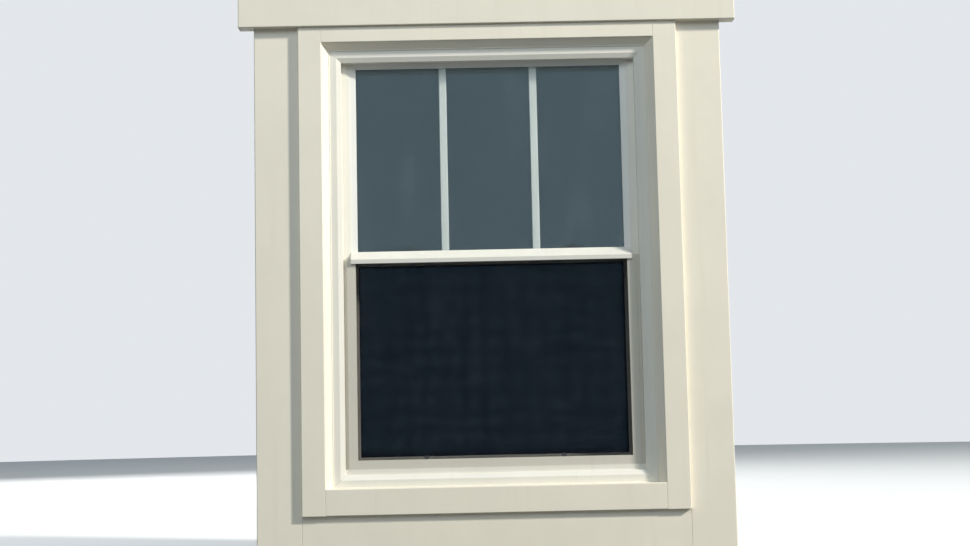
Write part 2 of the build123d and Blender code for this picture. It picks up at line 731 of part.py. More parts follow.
def cam_lock():
    """A cam lock on the check rail: rounded base, and a lever that carries the tongue."""
    x = -LOCK_X
    mid = LOCK_D
    d0 = mid - LOCK_W / 2
    half = LOCK_L / 2
    lock_z1 = SASH_Z1 + LOCK_H
    base = block(x - half, x + half, d0, d0 + LOCK_W, SASH_Z1, lock_z1)
    base = fillet(base.edges().filter_by(Axis.Z), LOCK_CORNER_R)
    top = [e for e in base.edges() if abs(e.center().Z - lock_z1) < NEAR]
    base = fillet(top, LOCK_EDGE_R)
    tongue_z = SASH_Z1 + TONGUE_LIFT
    tongue_z1 = tongue_z + TONGUE_T
    room = rod_z(x, mid, TONGUE_R + TONGUE_ROOM, tongue_z - TONGUE_CLEAR, tongue_z1 + TONGUE_CLEAR)
    room &= block(x - TONGUE_SIDE, x + LOCK_L, 0, mid + TONGUE_SIDE, SASH_Z1, lock_z1)
    base -= room
    base -= rod_z(x, mid, LOCK_SHAFT_R + LOCK_FIT, tongue_z, lock_z1 + PAST)
    for out in (-LOCK_SCREW_OUT, LOCK_SCREW_OUT):
        seat_r = SCREW_HEAD_R + SCREW_FIT
        base -= rod_z(x + out, mid, seat_r, lock_z1 - SCREW_HEAD_T, lock_z1 + PAST)
        base -= rod_z(x + out, mid, SCREW_R + SCREW_FIT, SASH_Z1 - PAST, lock_z1)
    half_w = TONGUE_W / 2
    tongue = block(x, x + TONGUE_R, mid - half_w, mid + half_w, tongue_z, tongue_z1)
    tongue &= rod_z(x, mid, TONGUE_R, tongue_z - PAST, tongue_z1 + PAST)
    lever_z = lock_z1 + LEVER_GAP
    lever_z1 = lever_z + LEVER_T
    arm = block(x - LEVER_W / 2, x + LEVER_W / 2, mid, mid + LEVER_L, lever_z, lever_z1)
    arm = fillet(arm.edges().filter_by(Axis.Z), LEVER_END_R)
    lever = rod_z(x, mid, LOCK_SHAFT_R, tongue_z, lever_z + NEAR) + tongue
    lever += rod_z(x, mid, HUB_R, tongue_z, tongue_z1)
    lever += arm + rod_z(x, mid, BOSS_R, lever_z, lever_z1)
    rim = [e for e in lever.edges() if abs(e.center().Z - lever_z1) < NEAR]
    lever = chamfer(rim, THUMB_BEVEL)
    return {
        "lock_base_left": base,
        "lock_base_right": mirrored(base),
        "lock_lever_left": lever,
        "lock_lever_right": mirrored(lever),
        "lock_screws": Compound(children=lock_screw_places(0)),
    }


def keepers():
    """Two hooked plates on the fixed rail that the lock tongues turn under, with their screws."""
    d0 = RIB_D0 + KEEPER_SET
    d1 = RIB_D1 - KEEPER_SET
    z = RAIL_TOP
    hook = [
        (d0, z),
        (d1, z),
        (d1, z + KEEPER_T),
        (d0 + KEEPER_T, z + KEEPER_T),
        (d0 + KEEPER_T, z + KEEPER_H - KEEPER_T),
        (d1, z + KEEPER_H - KEEPER_T),
        (d1, z + KEEPER_H),
        (d0, z + KEEPER_H),
    ]
    left = across(hook, -LOCK_X - KEEPER_L / 2, -LOCK_X + KEEPER_L / 2)
    pair = [left, mirrored(left)]
    for index, hole in enumerate(keeper_screw_places(SCREW_FIT)):
        pair[index // 2] -= hole
    return {
        "keepers": Compound(children=pair),
        "keeper_screws": Compound(children=keeper_screw_places(0)),
    }


def tilt_latches():
    """Spring bolts in the ends of the check rail that hold its top in the jamb."""
    tip = -SASH_HALF - LATCH_OUT
    heel = -SASH_HALF + LATCH_L
    d0 = CHANNEL_MID - LATCH_W / 2
    d1 = CHANNEL_MID + LATCH_W / 2
    z0 = SASH_Z1 - LATCH_H
    bolt = through([(tip, z0), (heel, z0), (heel, SASH_Z1), (tip, SASH_Z1)], d0, d1)
    nose = [e for e in bolt.edges().filter_by(Axis.Z) if e.center().X < tip + NEAR]
    inner = [e for e in nose if e.center().Y > FACE_Y + CHANNEL_MID]
    bolt = chamfer(inner, LATCH_W / 2)
    thumb_x1 = heel - THUMB_END
    thumb = block(
        thumb_x1 - THUMB_L,
        thumb_x1,
        d0 + THUMB_SIDE,
        d1 - THUMB_SIDE,
        SASH_Z1,
        SASH_Z1 + THUMB_H,
    )
    thumb = chamfer(thumb.faces().sort_by(Axis.Z)[-1].edges(), THUMB_BEVEL)
    latch = bolt + thumb
    return {"tilt_latch_left": latch, "tilt_latch_right": mirrored(latch)}


def balances():
    """Spiral balances in the jamb channels, with the shoes and pivot bars that carry the sash."""
    shoe_x0 = CHANNEL_X0 + SHOE_FIT
    shoe_x1 = CHANNEL_X1 - SHOE_FIT
    d0 = CHANNEL_D0 + SHOE_FIT
    d1 = CHANNEL_D0 + CHANNEL_T - SHOE_FIT
    shoe = block(-shoe_x1, -shoe_x0, d0, d1, SASH_Z0, SASH_Z0 + SHOE_H)
    shoe = chamfer(shoe.edges().filter_by(Axis.Z), SHOE_BEVEL)
    bar_tip = -shoe_x1 + PIVOT_END
    z0 = SASH_Z0 + PIVOT_Z
    bar = block(
        bar_tip,
        -SASH_HALF + PIVOT_L,
        CHANNEL_MID - PIVOT_T / 2,
        CHANNEL_MID + PIVOT_T / 2,
        z0,
        z0 + PIVOT_H,
    )
    socket = block(
        bar_tip - PIVOT_FIT,
        -shoe_x0 + PAST,
        CHANNEL_MID - PIVOT_T / 2 - PIVOT_FIT,
        CHANNEL_MID + PIVOT_T / 2 + PIVOT_FIT,
        z0 - PIVOT_FIT,
        z0 + PIVOT_H + PIVOT_FIT,
    )
    shoe = shoe - socket
    x = -(CHANNEL_X0 + CHANNEL_X1) / 2
    tube_z1 = FRAME_Z1 - HEAD_BODY_W
    tube_z0 = tube_z1 - TUBE_L
    tube = rod_z(x, CHANNEL_MID, TUBE_R, tube_z0, tube_z1)
    tube -= rod_z(x, CHANNEL_MID, TUBE_R - TUBE_WALL, tube_z0 - PAST, tube_z1 - TUBE_PLUG)
    rod = spiral(x, SASH_Z0 + SHOE_H, tube_z0 + ROD_ENTRY)
    return {
        "balance_shoe_left": shoe,
        "balance_shoe_right": mirrored(shoe),
        "pivot_bars": Compound(children=[bar, mirrored(bar)]),
        "balance_tube_left": tube,
        "balance_tube_right": mirrored(tube),
        "balance_rod_left": rod,
        "balance_rod_right": mirrored(rod),
    }


def spiral(x, z0, z1):
    """A flat strip twisted about its own middle."""
    steps = max(ROD_STEPS, round(ROD_STEPS * (z1 - z0) / ROD_PITCH))
    sections = []
    for step in range(steps + 1):
        share = step / steps
        turn = 360 * (z1 - z0) / ROD_PITCH * share
        place = Pos(x, FACE_Y + CHANNEL_MID, z0 + (z1 - z0) * share) * Rot(0, 0, turn)
        sections.append(place * Rectangle(ROD_W, ROD_T))
    return loft([s.face() for s in sections], ruled=True)


def insect_screen():
    """The half screen: hollow bars with a lip for the frame's groove, cloth, spline and tabs."""
    d0 = SCREEN_D0
    d1 = SCREEN_D1
    top = SCREEN_Z1
    inner = SCREEN_INNER
    foot_z = SCREEN_Z0 + SCREEN_BAR_W
    head_z = top - SCREEN_TOP_W
    lip_x = -SCREEN_HALF - SCREEN_EDGE_GAP - SCREEN_LIP_BITE
    lip_d1 = SCREEN_LIP_D0 + SCREEN_LIP_T
    side = bar_outline(-SCREEN_HALF, -inner, d0, d1)
    lipped = upright(side, SCREEN_Z0, top)
    lipped += block(lip_x, -SCREEN_HALF + SCREEN_WALL, SCREEN_LIP_D0, lip_d1, SCREEN_Z0, top)
    lipped -= bar_hollow(SCREEN_Z0 - PAST, top + PAST, 0)
    foot = across([(d, z) for z, d in bar_outline(SCREEN_Z0, foot_z, d0, d1)], -inner, inner)
    head = across([(d, z) for z, d in bar_outline(top, head_z, d0, d1)], -inner, inner)
    half = inner + MESH_LAP
    cloth = block(-half, half, d1, d1 + MESH_T, foot_z - MESH_LAP, head_z + MESH_LAP)
    tab = block(-TAB_W / 2, TAB_W / 2, d0 + TAB_SET, d1, foot_z, foot_z + TAB_H)
    tab = chamfer(tab.edges().filter_by(Axis.Y), TAB_BEVEL)
    tabs = [Pos(x, 0, 0) * tab for x in (-inner / 2, inner / 2)]
    keys = [bar_hollow(SCREEN_Z0, SCREEN_Z0 + KEY_L, KEY_FIT), bar_hollow(top - KEY_L, top, KEY_FIT)]
    keys += [mirrored(key) for key in keys]
    cords = [
        upright(cord_outline(-inner - SPLINE_MID), foot_z, head_z),
        upright(cord_outline(inner + SPLINE_MID), foot_z, head_z),
        across([(d, z) for z, d in cord_outline(foot_z - SPLINE_MID)], -inner, inner),
        across([(d, z) for z, d in cord_outline(head_z + SPLINE_MID)], -inner, inner),
    ]
    return {
        "screen_bar_left": lipped,
        "screen_bar_right": mirrored(lipped),
        "screen_bar_bottom": foot,
        "screen_bar_top": head,
        "screen_mesh": cloth,
        "screen_tabs": Compound(children=tabs),
        "screen_keys": Compound(children=keys),
        "screen_spline": Compound(children=cords),
    }


def bar_outline(outer, inner, d0, d1):
    """A rolled bar's section, with the spline groove in its inside face near the cloth."""
    sign = 1 if inner > outer else -1
    edge = inner - sign * SPLINE_SET
    far = edge - sign * SPLINE_W
    return [
        (outer, d0),
        (inner, d0),
        (inner, d1),
        (edge, d1),
        (edge, d1 - SPLINE_IN),
        (far, d1 - SPLINE_IN),
        (far, d1),
        (outer, d1),
    ]


def cord_outline(middle):
    """A round cord's outline, seated in a bar's spline groove."""
    d = SCREEN_D1 - SPLINE_IN + SPLINE_R
    turns = [2 * pi * (i + 0.5) / SPLINE_SIDES for i in range(SPLINE_SIDES)]
    return [(middle + SPLINE_R * cos(t), d + SPLINE_R * sin(t)) for t in turns]


def bar_hollow(z0, z1, fit):
    """The hollow of the left screen bar, clear of its spline groove, or the key that fits it."""
    wall = SCREEN_WALL + fit
    far = -SCREEN_INNER - SPLINE_SET - SPLINE_W - wall
    return block(-SCREEN_HALF + wall, far, SCREEN_D0 + wall, SCREEN_D1 - wall, z0, z1)


def all_pieces():
    """Every piece of the window, by the name of its node."""
    pieces = {}
    for group in (
        casing,
        raised_trim,
        header,
        bevelled_stops,
        surround_box,
        main_frame,
        meeting_rail,
        upper_lite,
        lower_sash,
        cam_lock,
        keepers,
        tilt_latches,
        balances,
        insect_screen,
    ):
        pieces.update(group())
    return pieces


os.makedirs("parts", exist_ok=True)
for name, piece in all_pieces().items():
    export_step(piece, f"parts/{name}.step")
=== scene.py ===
"""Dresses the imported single-hung window in its boxed-out painted surround.

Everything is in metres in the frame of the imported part: X along the wall, Y from the
street into the house, Z up. Each sub-assembly is a class that makes its own small pieces
and gives its nodes their finishes.
"""

import json
import logging
import math
from dataclasses import dataclass
from enum import Enum
from typing import Callable, Sequence

import bmesh
import bpy
from mathutils import Matrix, Vector

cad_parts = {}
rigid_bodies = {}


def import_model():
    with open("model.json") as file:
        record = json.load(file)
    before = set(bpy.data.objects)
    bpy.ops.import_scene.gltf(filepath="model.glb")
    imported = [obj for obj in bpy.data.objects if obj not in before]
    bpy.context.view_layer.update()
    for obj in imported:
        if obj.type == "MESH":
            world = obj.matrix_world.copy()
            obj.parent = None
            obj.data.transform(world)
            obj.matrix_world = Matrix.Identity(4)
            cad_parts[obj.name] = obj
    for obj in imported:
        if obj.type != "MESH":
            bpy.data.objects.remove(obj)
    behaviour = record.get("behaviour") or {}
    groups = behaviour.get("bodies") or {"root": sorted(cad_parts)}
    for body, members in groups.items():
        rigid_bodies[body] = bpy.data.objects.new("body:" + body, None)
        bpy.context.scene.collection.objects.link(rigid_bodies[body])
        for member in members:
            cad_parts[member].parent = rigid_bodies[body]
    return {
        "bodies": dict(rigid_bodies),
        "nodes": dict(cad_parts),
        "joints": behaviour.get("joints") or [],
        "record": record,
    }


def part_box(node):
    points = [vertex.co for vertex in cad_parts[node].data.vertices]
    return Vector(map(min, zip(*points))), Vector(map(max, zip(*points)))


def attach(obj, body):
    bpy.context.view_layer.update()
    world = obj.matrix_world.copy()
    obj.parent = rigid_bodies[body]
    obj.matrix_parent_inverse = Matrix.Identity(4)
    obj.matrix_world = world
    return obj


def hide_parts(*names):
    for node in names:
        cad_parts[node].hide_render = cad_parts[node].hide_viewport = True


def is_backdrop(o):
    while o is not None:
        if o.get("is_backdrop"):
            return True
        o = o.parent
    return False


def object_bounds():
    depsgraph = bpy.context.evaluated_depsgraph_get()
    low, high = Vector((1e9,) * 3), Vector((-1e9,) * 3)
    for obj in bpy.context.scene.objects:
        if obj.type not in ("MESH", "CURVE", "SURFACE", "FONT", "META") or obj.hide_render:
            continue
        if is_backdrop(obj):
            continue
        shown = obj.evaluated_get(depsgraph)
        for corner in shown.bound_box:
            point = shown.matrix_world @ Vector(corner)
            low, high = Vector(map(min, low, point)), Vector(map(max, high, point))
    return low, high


log = logging.getLogger("window")

Socket = bpy.types.NodeSocket
Colour = tuple[float, float, float]
Triple = Sequence[float]  # a point, a shift or a scale along X, Y and Z
Test = Callable[[Vector, Vector], bool]

ROOT = "window_frame"
SASH = "lower_sash"
SIDES = {"left": -1, "right": 1}  # which way along X each side lies
BEVEL_SEGMENTS = 3
FINE_RELIEF = 0.00005  # how deep the finest lines on metal and rubber are, in metres
FACING = 0.9  # how much of a direction lies along an axis, for it to count as that axis


class Grain(Enum):
    """The direction in which a board's grain runs."""

    ALONG_X = "x"
    ALONG_Z = "z"


class Pick(Enum):
    """What is selected in edit mode."""

    EDGE = "EDGE"
    FACE = "FACE"


# ---------------------------------------------------------------- node building


@dataclass
class Nodes:
    """Builds the nodes of one material or shader group.

    Attributes:
        tree: The tree that they are in.
    """

    tree: bpy.types.NodeTree

    def add(self, kind: str, **settings: object) -> bpy.types.Node:
        """Adds a node.

        Args:
            kind: The node's type name without the ShaderNode prefix.
            settings: Properties to set on it.

        Returns:
            The new node.
        """
        node = self.tree.nodes.new("ShaderNode" + kind)
        for key, value in settings.items():
            setattr(node, key, value)
        return node

    def feed(self, socket: Socket, value: object) -> None:
        """Links a socket or sets a plain value.

        Args:
            socket: The input to fill.
            value: Another node's output, a number or a colour.
        """
        if isinstance(value, bpy.types.NodeSocket):
            self.tree.links.new(value, socket)
        elif isinstance(value, tuple) and socket.type == "RGBA":
            socket.default_value = (*value[:3], 1.0)
        else:
            socket.default_value = value

    def math(self, operation: str, first: object, second: object = 0.0) -> Socket:
        """Adds a Math node.

        Args:
            operation: The node's operation.
            first: Its first input.
            second: Its second input.

        Returns:
            The node's output.
        """
        node = self.add("Math", operation=operation)
        for socket, value in zip(node.inputs, (first, second)):
            self.feed(socket, value)
        return node.outputs[0]

    def times(self, first: object, second: object) -> Socket:
        """Returns the product of two values."""
        return self.math("MULTIPLY", first, second)

    def plus(self, first: object, second: object) -> Socket:
        """Returns the sum of two values."""
        return self.math("ADD", first, second)

    def minus(self, first: object, second: object) -> Socket:
        """Returns the first value less the second."""
        return self.math("SUBTRACT", first, second)

    def span(
        self, value: Socket, low: float, high: float, start: float = 0.0, end: float = 1.0
    ) -> Socket:
        """Maps a value smoothly from one range to another.

        Args:
            value: The value to map.
            low: The value that gives start.
            high: The value that gives end.
            start: The result at low and beyond.
            end: The result at high and beyond.

        Returns:
            The mapped value.
        """
        node = self.add("MapRange", interpolation_type="SMOOTHSTEP")
        for socket, number in zip(node.inputs, (value, low, high, start, end)):
            self.feed(socket, number)
        return node.outputs[0]

    def mix(self, share: object, first: object, second: object) -> Socket:
        """Mixes two colours.

        Args:
            share: How much of the second shows.
            first: The first colour.
            second: The second colour.

        Returns:
            The mixed colour.
        """
        node = self.add("Mix", data_type="RGBA")
        self.feed(node.inputs[0], share)
        self.feed(node.inputs[6], first)
        self.feed(node.inputs[7], second)
        return node.outputs[2]

    def surface(self, share: Socket, first: Socket, second: Socket) -> None:
        """Makes a mix of two shaders the surface of the material or the world.

        Args:
            share: How much of the second shows.
            first: The first shader.
            second: The second shader.
        """
        both = self.add("MixShader")
        for socket, value in zip(both.inputs, (share, first, second)):
            self.feed(socket, value)
        end = next(x for x in self.tree.nodes if x.type.startswith("OUTPUT"))
        self.feed(end.inputs["Surface"], both.outputs[0])

    def place(self) -> Socket:
        """Returns the point on the piece, in metres."""
        return self.add("TexCoord").outputs["Object"]

    def parts(self, vector: Socket) -> tuple[Socket, Socket, Socket]:
        """Splits a vector.

        Args:
            vector: The vector to split.

        Returns:
            Its three parts.
        """
        node = self.add("SeparateXYZ")
        self.feed(node.inputs[0], vector)
        return tuple(node.outputs)

    def stretched(self, vector: Socket, scale: Triple) -> Socket:
        """Scales a point, so that a pattern read there is stretched.

        Args:
            vector: The point.
            scale: The scale along each axis.

        Returns:
            The scaled point.
        """
        node = self.add("Mapping")
        self.feed(node.inputs["Vector"], vector)
        node.inputs["Scale"].default_value = scale
        return node.outputs[0]

    def noise(
        self, vector: Socket, scale: float, detail: float = 3.0, rough: float = 0.55
    ) -> Socket:
        """Adds a noise.

        Args:
            vector: The point that it is read at.
            scale: Its scale, in features a metre.
            detail: Its number of octaves.
            rough: How strong the fine octaves are.

        Returns:
            The noise, from 0 to 1.
        """
        node = self.add("TexNoise")
        self.feed(node.inputs["Vector"], vector)
        for key, value in (("Scale", scale), ("Detail", detail), ("Roughness", rough)):
            node.inputs[key].default_value = value
        return node.outputs["Fac"]


@dataclass
class Effect:
    """A shader group that several finishes share.

    Attributes:
        name: The group's name.
        takes: Its inputs' names and first values, a tuple for a colour.
        gives: The names and types of its outputs.
        body: Takes the group's Nodes and its inputs by name, fills it, and returns its
            outputs by name.
    """

    name: str
    takes: dict[str, object]
    gives: dict[str, str]
    body: Callable[[Nodes, dict[str, Socket]], dict[str, Socket]]

    def group(self) -> bpy.types.NodeTree:
        """Builds the group at its first use.

        Returns:
            The group's node tree.
        """
        if self.name in bpy.data.node_groups:
            return bpy.data.node_groups[self.name]
        tree = bpy.data.node_groups.new(self.name, "ShaderNodeTree")
        for key, value in self.takes.items():
            kind = "Color" if isinstance(value, tuple) else "Float"
            socket = tree.interface.new_socket(
                key, in_out="INPUT", socket_type="NodeSocket" + kind
            )
            socket.default_value = (*value, 1.0) if kind == "Color" else value
        for key, kind in self.gives.items():
            tree.interface.new_socket(key, in_out="OUTPUT", socket_type="NodeSocket" + kind)
        nodes = Nodes(tree)
        start, end = tree.nodes.new("NodeGroupInput"), tree.nodes.new("NodeGroupOutput")
        made = self.body(nodes, {key: start.outputs[key] for key in self.takes})
        for key, socket in made.items():
            nodes.feed(end.inputs[key], socket)
        return tree

    def use(self, nodes: Nodes, **values: object) -> dict[str, Socket]:
        """Places the group in a material.

        Args:
            nodes: The material's nodes.
            values: Inputs by name.

        Returns:
            The group's outputs by name.
        """
        node = nodes.add("Group", node_tree=self.group())
        for key, value in values.items():
            nodes.feed(node.inputs[key.replace("_", " ")], value)
        return {key: node.outputs[key] for key in self.gives}


def weather_body(n: Nodes, given: dict[str, Socket]) -> dict[str, Socket]:
    """Fills the weather group: soft patches, rain streaks, specks and dust on upward faces.

    Args:
        n: The group's nodes.
        given: The group's inputs.

    Returns:
        The colour, roughness and height that it gives.
    """
    place = n.place()
    patches = n.noise(place, 6.0, detail=4.0, rough=0.6)
    streaks = n.noise(n.stretched(place, (48.0, 30.0, 1.6)), 1.0, detail=2.0)
    specks = n.noise(place, 420.0, detail=2.0)
    up = n.parts(n.add("NewGeometry").outputs["Normal"])[2]
    ledge = n.times(n.span(up, 0.35, 0.95), n.span(n.noise(place, 55.0), 0.2, 0.8))
    upright = n.span(n.math("ABSOLUTE", up), 0.7, 0.3)
    run = n.times(n.span(streaks, 0.5, 0.78), n.times(upright, n.span(patches, 0.35, 0.7)))
    stain = n.plus(n.times(run, 0.3), n.times(ledge, 0.45))
    stain = n.plus(stain, n.times(n.span(specks, 0.7, 0.82), 0.35))
    stain = n.math("MINIMUM", n.times(stain, given["Amount"]), 0.85)
    tone = n.span(patches, 0.25, 0.75, 0.97, 1.02)
    shaded = n.add("VectorMath", operation="SCALE")
    n.feed(shaded.inputs[0], given["Color"])
    n.feed(shaded.inputs["Scale"], tone)
    colour = n.mix(stain, shaded.outputs[0], given["Stain"])
    rough = n.plus(given["Roughness"], n.times(stain, 0.3))
    rough = n.plus(rough, n.span(n.noise(place, 30.0), 0.3, 0.7, -0.03, 0.05))
    return {"Color": colour, "Roughness": rough, "Height": n.times(specks, given["Grit"])}


WEATHER = Effect(
    "weather",
    {
        "Color": (0.8, 0.8, 0.8),
        "Stain": (0.2, 0.17, 0.13),
        "Amount": 0.3,
        "Roughness": 0.4,
        "Grit": 0.05,
    },
    {"Color": "Color", "Roughness": "Float", "Height": "Float"},
    weather_body,
)


def drawn_body(n: Nodes, given: dict[str, Socket]) -> dict[str, Socket]:
    """Fills the drawn group: die lines along a section, turned at its mitred, welded corners.

    Args:
        n: The group's nodes.
        given: The group's inputs.

    Returns:
        The height of the lines and the mask of the weld.
    """
    x, y, z = n.parts(n.place())
    side = n.minus(given["Half width"], n.math("ABSOLUTE", x))
    head = n.minus(given["Top"], z)
    foot = n.minus(z, given["Foot"])
    end = n.math("MINIMUM", head, foot)
    apart = n.minus(side, end)
    on_side = n.span(apart, 0.0003, -0.0003)
    across = n.plus(n.times(x, on_side), n.times(z, n.minus(1.0, on_side)))
    point = n.add("CombineXYZ")
    n.feed(point.inputs[0], across)
    n.feed(point.inputs[1], y)
    lines = n.noise(n.stretched(point.outputs[0], (900.0, 900.0, 1.0)), 1.0, detail=2.0)
    reach = n.span(n.math("ABSOLUTE", apart), given["Weld"], 0.0)
    return {"Height": lines, "Weld": reach}


DRAWN = Effect(
    "drawn_section",
    {"Half width": 0.442, "Top": 1.209, "Foot": 0.025, "Weld": 0.0012},
    {"Height": "Float", "Weld": "Float"},
    drawn_body,
)


def soft_edge_body(n: Nodes, given: dict[str, Socket]) -> dict[str, Socket]:
    """Fills the soft edge group: a rounded normal and a mask of the edges.

    Args:
        n: The group's nodes.
        given: The group's inputs.

    Returns:
        The rounded normal and the edge mask.
    """
    bevel = n.add("Bevel", samples=4)
    n.feed(bevel.inputs["Radius"], given["Radius"])
    turn = n.add("VectorMath", operation="DOT_PRODUCT")
    n.feed(turn.inputs[0], bevel.outputs[0])
    n.feed(turn.inputs[1], n.add("NewGeometry").outputs["True Normal"])
    return {"Normal": bevel.outputs[0], "Edge": n.span(turn.outputs["Value"], 0.99, 0.8)}


SOFT_EDGE = Effect(
    "soft_edge",
    {"Radius": 0.0008},
    {"Normal": "Vector", "Edge": "Float"},
    soft_edge_body,
)


# ---------------------------------------------------------------- finishes


@dataclass
class Skin(Nodes):
    """The nodes of one material.

    Attributes:
        shader: Its Principled node.
    """

    shader: bpy.types.Node

    def coat(
        self,
        colour: Socket,
        roughness: Socket,
        height: Socket,
        depth: float,
        normal: Socket | None = None,
    ) -> None:
        """Feeds the shader's colour, roughness and normal.

        Args:
            colour: The colour.
            roughness: The roughness.
            height: The height that the normal comes from, from 0 to 1.
            depth: What a height of 1 stands for, in metres.
            normal: A normal to start from.
        """
        bump = self.add("Bump")
        bump.inputs["Distance"].default_value = depth
        self.feed(bump.inputs["Height"], height)
        if normal is not None:
            self.feed(bump.inputs["Normal"], normal)
        made = {"Base Color": colour, "Roughness": roughness, "Normal": bump.outputs[0]}
        for key, socket in made.items():
            self.feed(self.shader.inputs[key], socket)


def blank(title: str) -> tuple[bpy.types.Material, Skin]:
    """Makes a material.

    Args:
        title: Its name.

    Returns:
        The material and its nodes.
    """
    made = bpy.data.materials.new(title)
    made.use_nodes = True
    tree = made.node_tree
    return made, Skin(tree, next(x for x in tree.nodes if x.type == "BSDF_PRINCIPLED"))


@dataclass(frozen=True)
class Finish:
    """What every finish has.

    Attributes:
        name: The material's name.
        colour: Its base colour, linear.
        roughness: Its roughness.
    """

    name: str
    colour: Colour
    roughness: float

    def material(self) -> bpy.types.Material:
        """Builds the material at its first use.

        Returns:
            The material.
        """
        title = f"{self.name}_finish"
        if title in bpy.data.materials:
            return bpy.data.materials[title]
        made, skin = blank(title)
        made.diffuse_color = (*self.colour, 1.0)
        self.fill(skin)
        return made

    def fill(self, n: Skin) -> None:
        """Fills the material's nodes."""
        raise NotImplementedError


@dataclass(frozen=True)
class CoilWrap(Finish):
    """Painted sheet metal folded round a board, a little wavy between its folds.

    Attributes:
        soiling: How much rain and dust have marked it.
        wave: How deep its waviness is, in metres.
    """

    soiling: float = 0.3
    wave: float = 0.0011

    def fill(self, n: Skin) -> None:
        """Fills the material.

        Args:
            n: Its nodes.
        """
        given = WEATHER.use(
            n, Color=self.colour, Roughness=self.roughness, Amount=self.soiling, Grit=0.02
        )
        edge = SOFT_EDGE.use(n, Radius=0.0012)
        worn = n.mix(n.times(edge["Edge"], 0.12), given["Color"], (0.95, 0.94, 0.9))
        place = n.place()
        waves = n.noise(n.stretched(place, (7.0, 7.0, 2.6)), 1.0, detail=1.0)
        peel = n.noise(place, 700.0, detail=1.0)
        height = n.plus(n.plus(waves, n.times(peel, 0.012)), n.times(given["Height"], 0.6))
        n.coat(worn, given["Roughness"], height, self.wave, edge["Normal"])


@dataclass(frozen=True)
class Vinyl(Finish):
    """Extruded white vinyl with die lines and cleaned corner welds.

    Attributes:
        soiling: How much rain and dust have marked it.
        half_width: Where the section's outer edge lies at the sides.
        top: Where it lies at the head.
        foot: Where it lies at the sill.
        line: How deep the die lines and the welds are, in metres.
    """

    soiling: float = 0.22
    half_width: float = 0.442
    top: float = 1.209
    foot: float = 0.025
    line: float = 0.0003

    def fill(self, n: Skin) -> None:
        """Fills the material.

        Args:
            n: Its nodes.
        """
        given = WEATHER.use(
            n, Color=self.colour, Roughness=self.roughness, Amount=self.soiling, Grit=0.02
        )
        drawn = DRAWN.use(n, Half_width=self.half_width, Top=self.top, Foot=self.foot)
        edge = SOFT_EDGE.use(n, Radius=0.0007)
        colour = n.mix(n.times(drawn["Weld"], 0.4), given["Color"], (0.42, 0.41, 0.38))
        rough = n.plus(given["Roughness"], n.times(drawn["Weld"], 0.2))
        height = n.minus(n.times(drawn["Height"], 0.10), drawn["Weld"])
        height = n.plus(height, n.times(given["Height"], 0.5))
        n.coat(colour, rough, height, self.line, edge["Normal"])


@dataclass(frozen=True)
class Glazing(Finish):
    """A pane of float glass, rough only where a film of dust lies on it.

    Attributes:
        index: Its refractive index.
        lets: How much of a lamp's light passes.
        sheen: The tint of what it reflects.
        wave: How deep its waviness is, in metres.
    """

    index: float = 1.50
    lets: float = 0.8
    sheen: Colour = (0.78, 0.97, 1.0)
    wave: float = 0.0006

    def fill(self, n: Skin) -> None:
        """Fills the material.

        Args:
            n: Its nodes.
        """
        place = n.place()
        smears = n.noise(n.stretched(place, (14.0, 14.0, 5.0)), 1.0, detail=4.0)
        n.shader.inputs["Transmission Weight"].default_value = 1.0
        n.shader.inputs["IOR"].default_value = self.index
        n.shader.inputs["Specular Tint"].default_value = (*self.sheen, 1.0)
        film = n.span(smears, 0.45, 0.8)
        haze = n.mix(n.times(film, 0.04), self.colour, (0.75, 0.8, 0.82))
        rough = n.times(film, self.roughness)
        n.coat(haze, rough, n.noise(place, 9.0, detail=1.0), self.wave)
        clear = n.add("BsdfTransparent")
        face = math.sqrt(self.lets)
        clear.inputs[0].default_value = (face, face, face, 1.0)
        shadow = n.add("LightPath").outputs["Is Shadow Ray"]
        n.surface(shadow, n.shader.outputs[0], clear.outputs[0])


@dataclass(frozen=True)
class Metal(Finish):
    """Bare metal, drawn or plated.

    Attributes:
        patchy: How much its colour varies.
        stretch: How its fine lines are stretched.
    """

    patchy: float = 0.2
    stretch: Triple = (600.0, 600.0, 20.0)

    def fill(self, n: Skin) -> None:
        """Fills the material.

        Args:
            n: Its nodes.
        """
        place = n.place()
        lines = n.noise(n.stretched(place, self.stretch), 1.0, detail=2.0)
        spots = n.noise(place, 90.0, detail=4.0)
        n.shader.inputs["Metallic"].default_value = 1.0
        dull = tuple(c * 0.55 for c in self.colour)
        tarnish = n.times(n.span(spots, 0.45, 0.75), self.patchy)
        colour = n.mix(tarnish, self.colour, dull)
        rough = n.span(spots, 0.3, 0.75, self.roughness, self.roughness + 0.22)
        n.coat(colour, rough, lines, FINE_RELIEF)


@dataclass(frozen=True)
class Enamel(Finish):
    """A smooth coat on a casting or a moulding, rubbed at its edges.

    Attributes:
        rubbed: The colour under the rubbed edges.
        rub: How much of it shows.
        peel: How deep the coat's unevenness is, in metres.
    """

    rubbed: Colour = (0.45, 0.44, 0.41)
    rub: float = 0.25
    peel: float = 0.00004

    def fill(self, n: Skin) -> None:
        """Fills the material.

        Args:
            n: Its nodes.
        """
        given = WEATHER.use(
            n, Color=self.colour, Roughness=self.roughness, Amount=0.16, Grit=0.01
        )
        edge = SOFT_EDGE.use(n, Radius=0.0005)
        place = n.place()
        chips = n.times(edge["Edge"], n.span(n.noise(place, 260.0), 0.45, 0.6))
        colour = n.mix(n.times(chips, self.rub), given["Color"], self.rubbed)
        peel = n.noise(place, 500.0, detail=1.0)
        n.coat(colour, given["Roughness"], peel, self.peel, edge["Normal"])


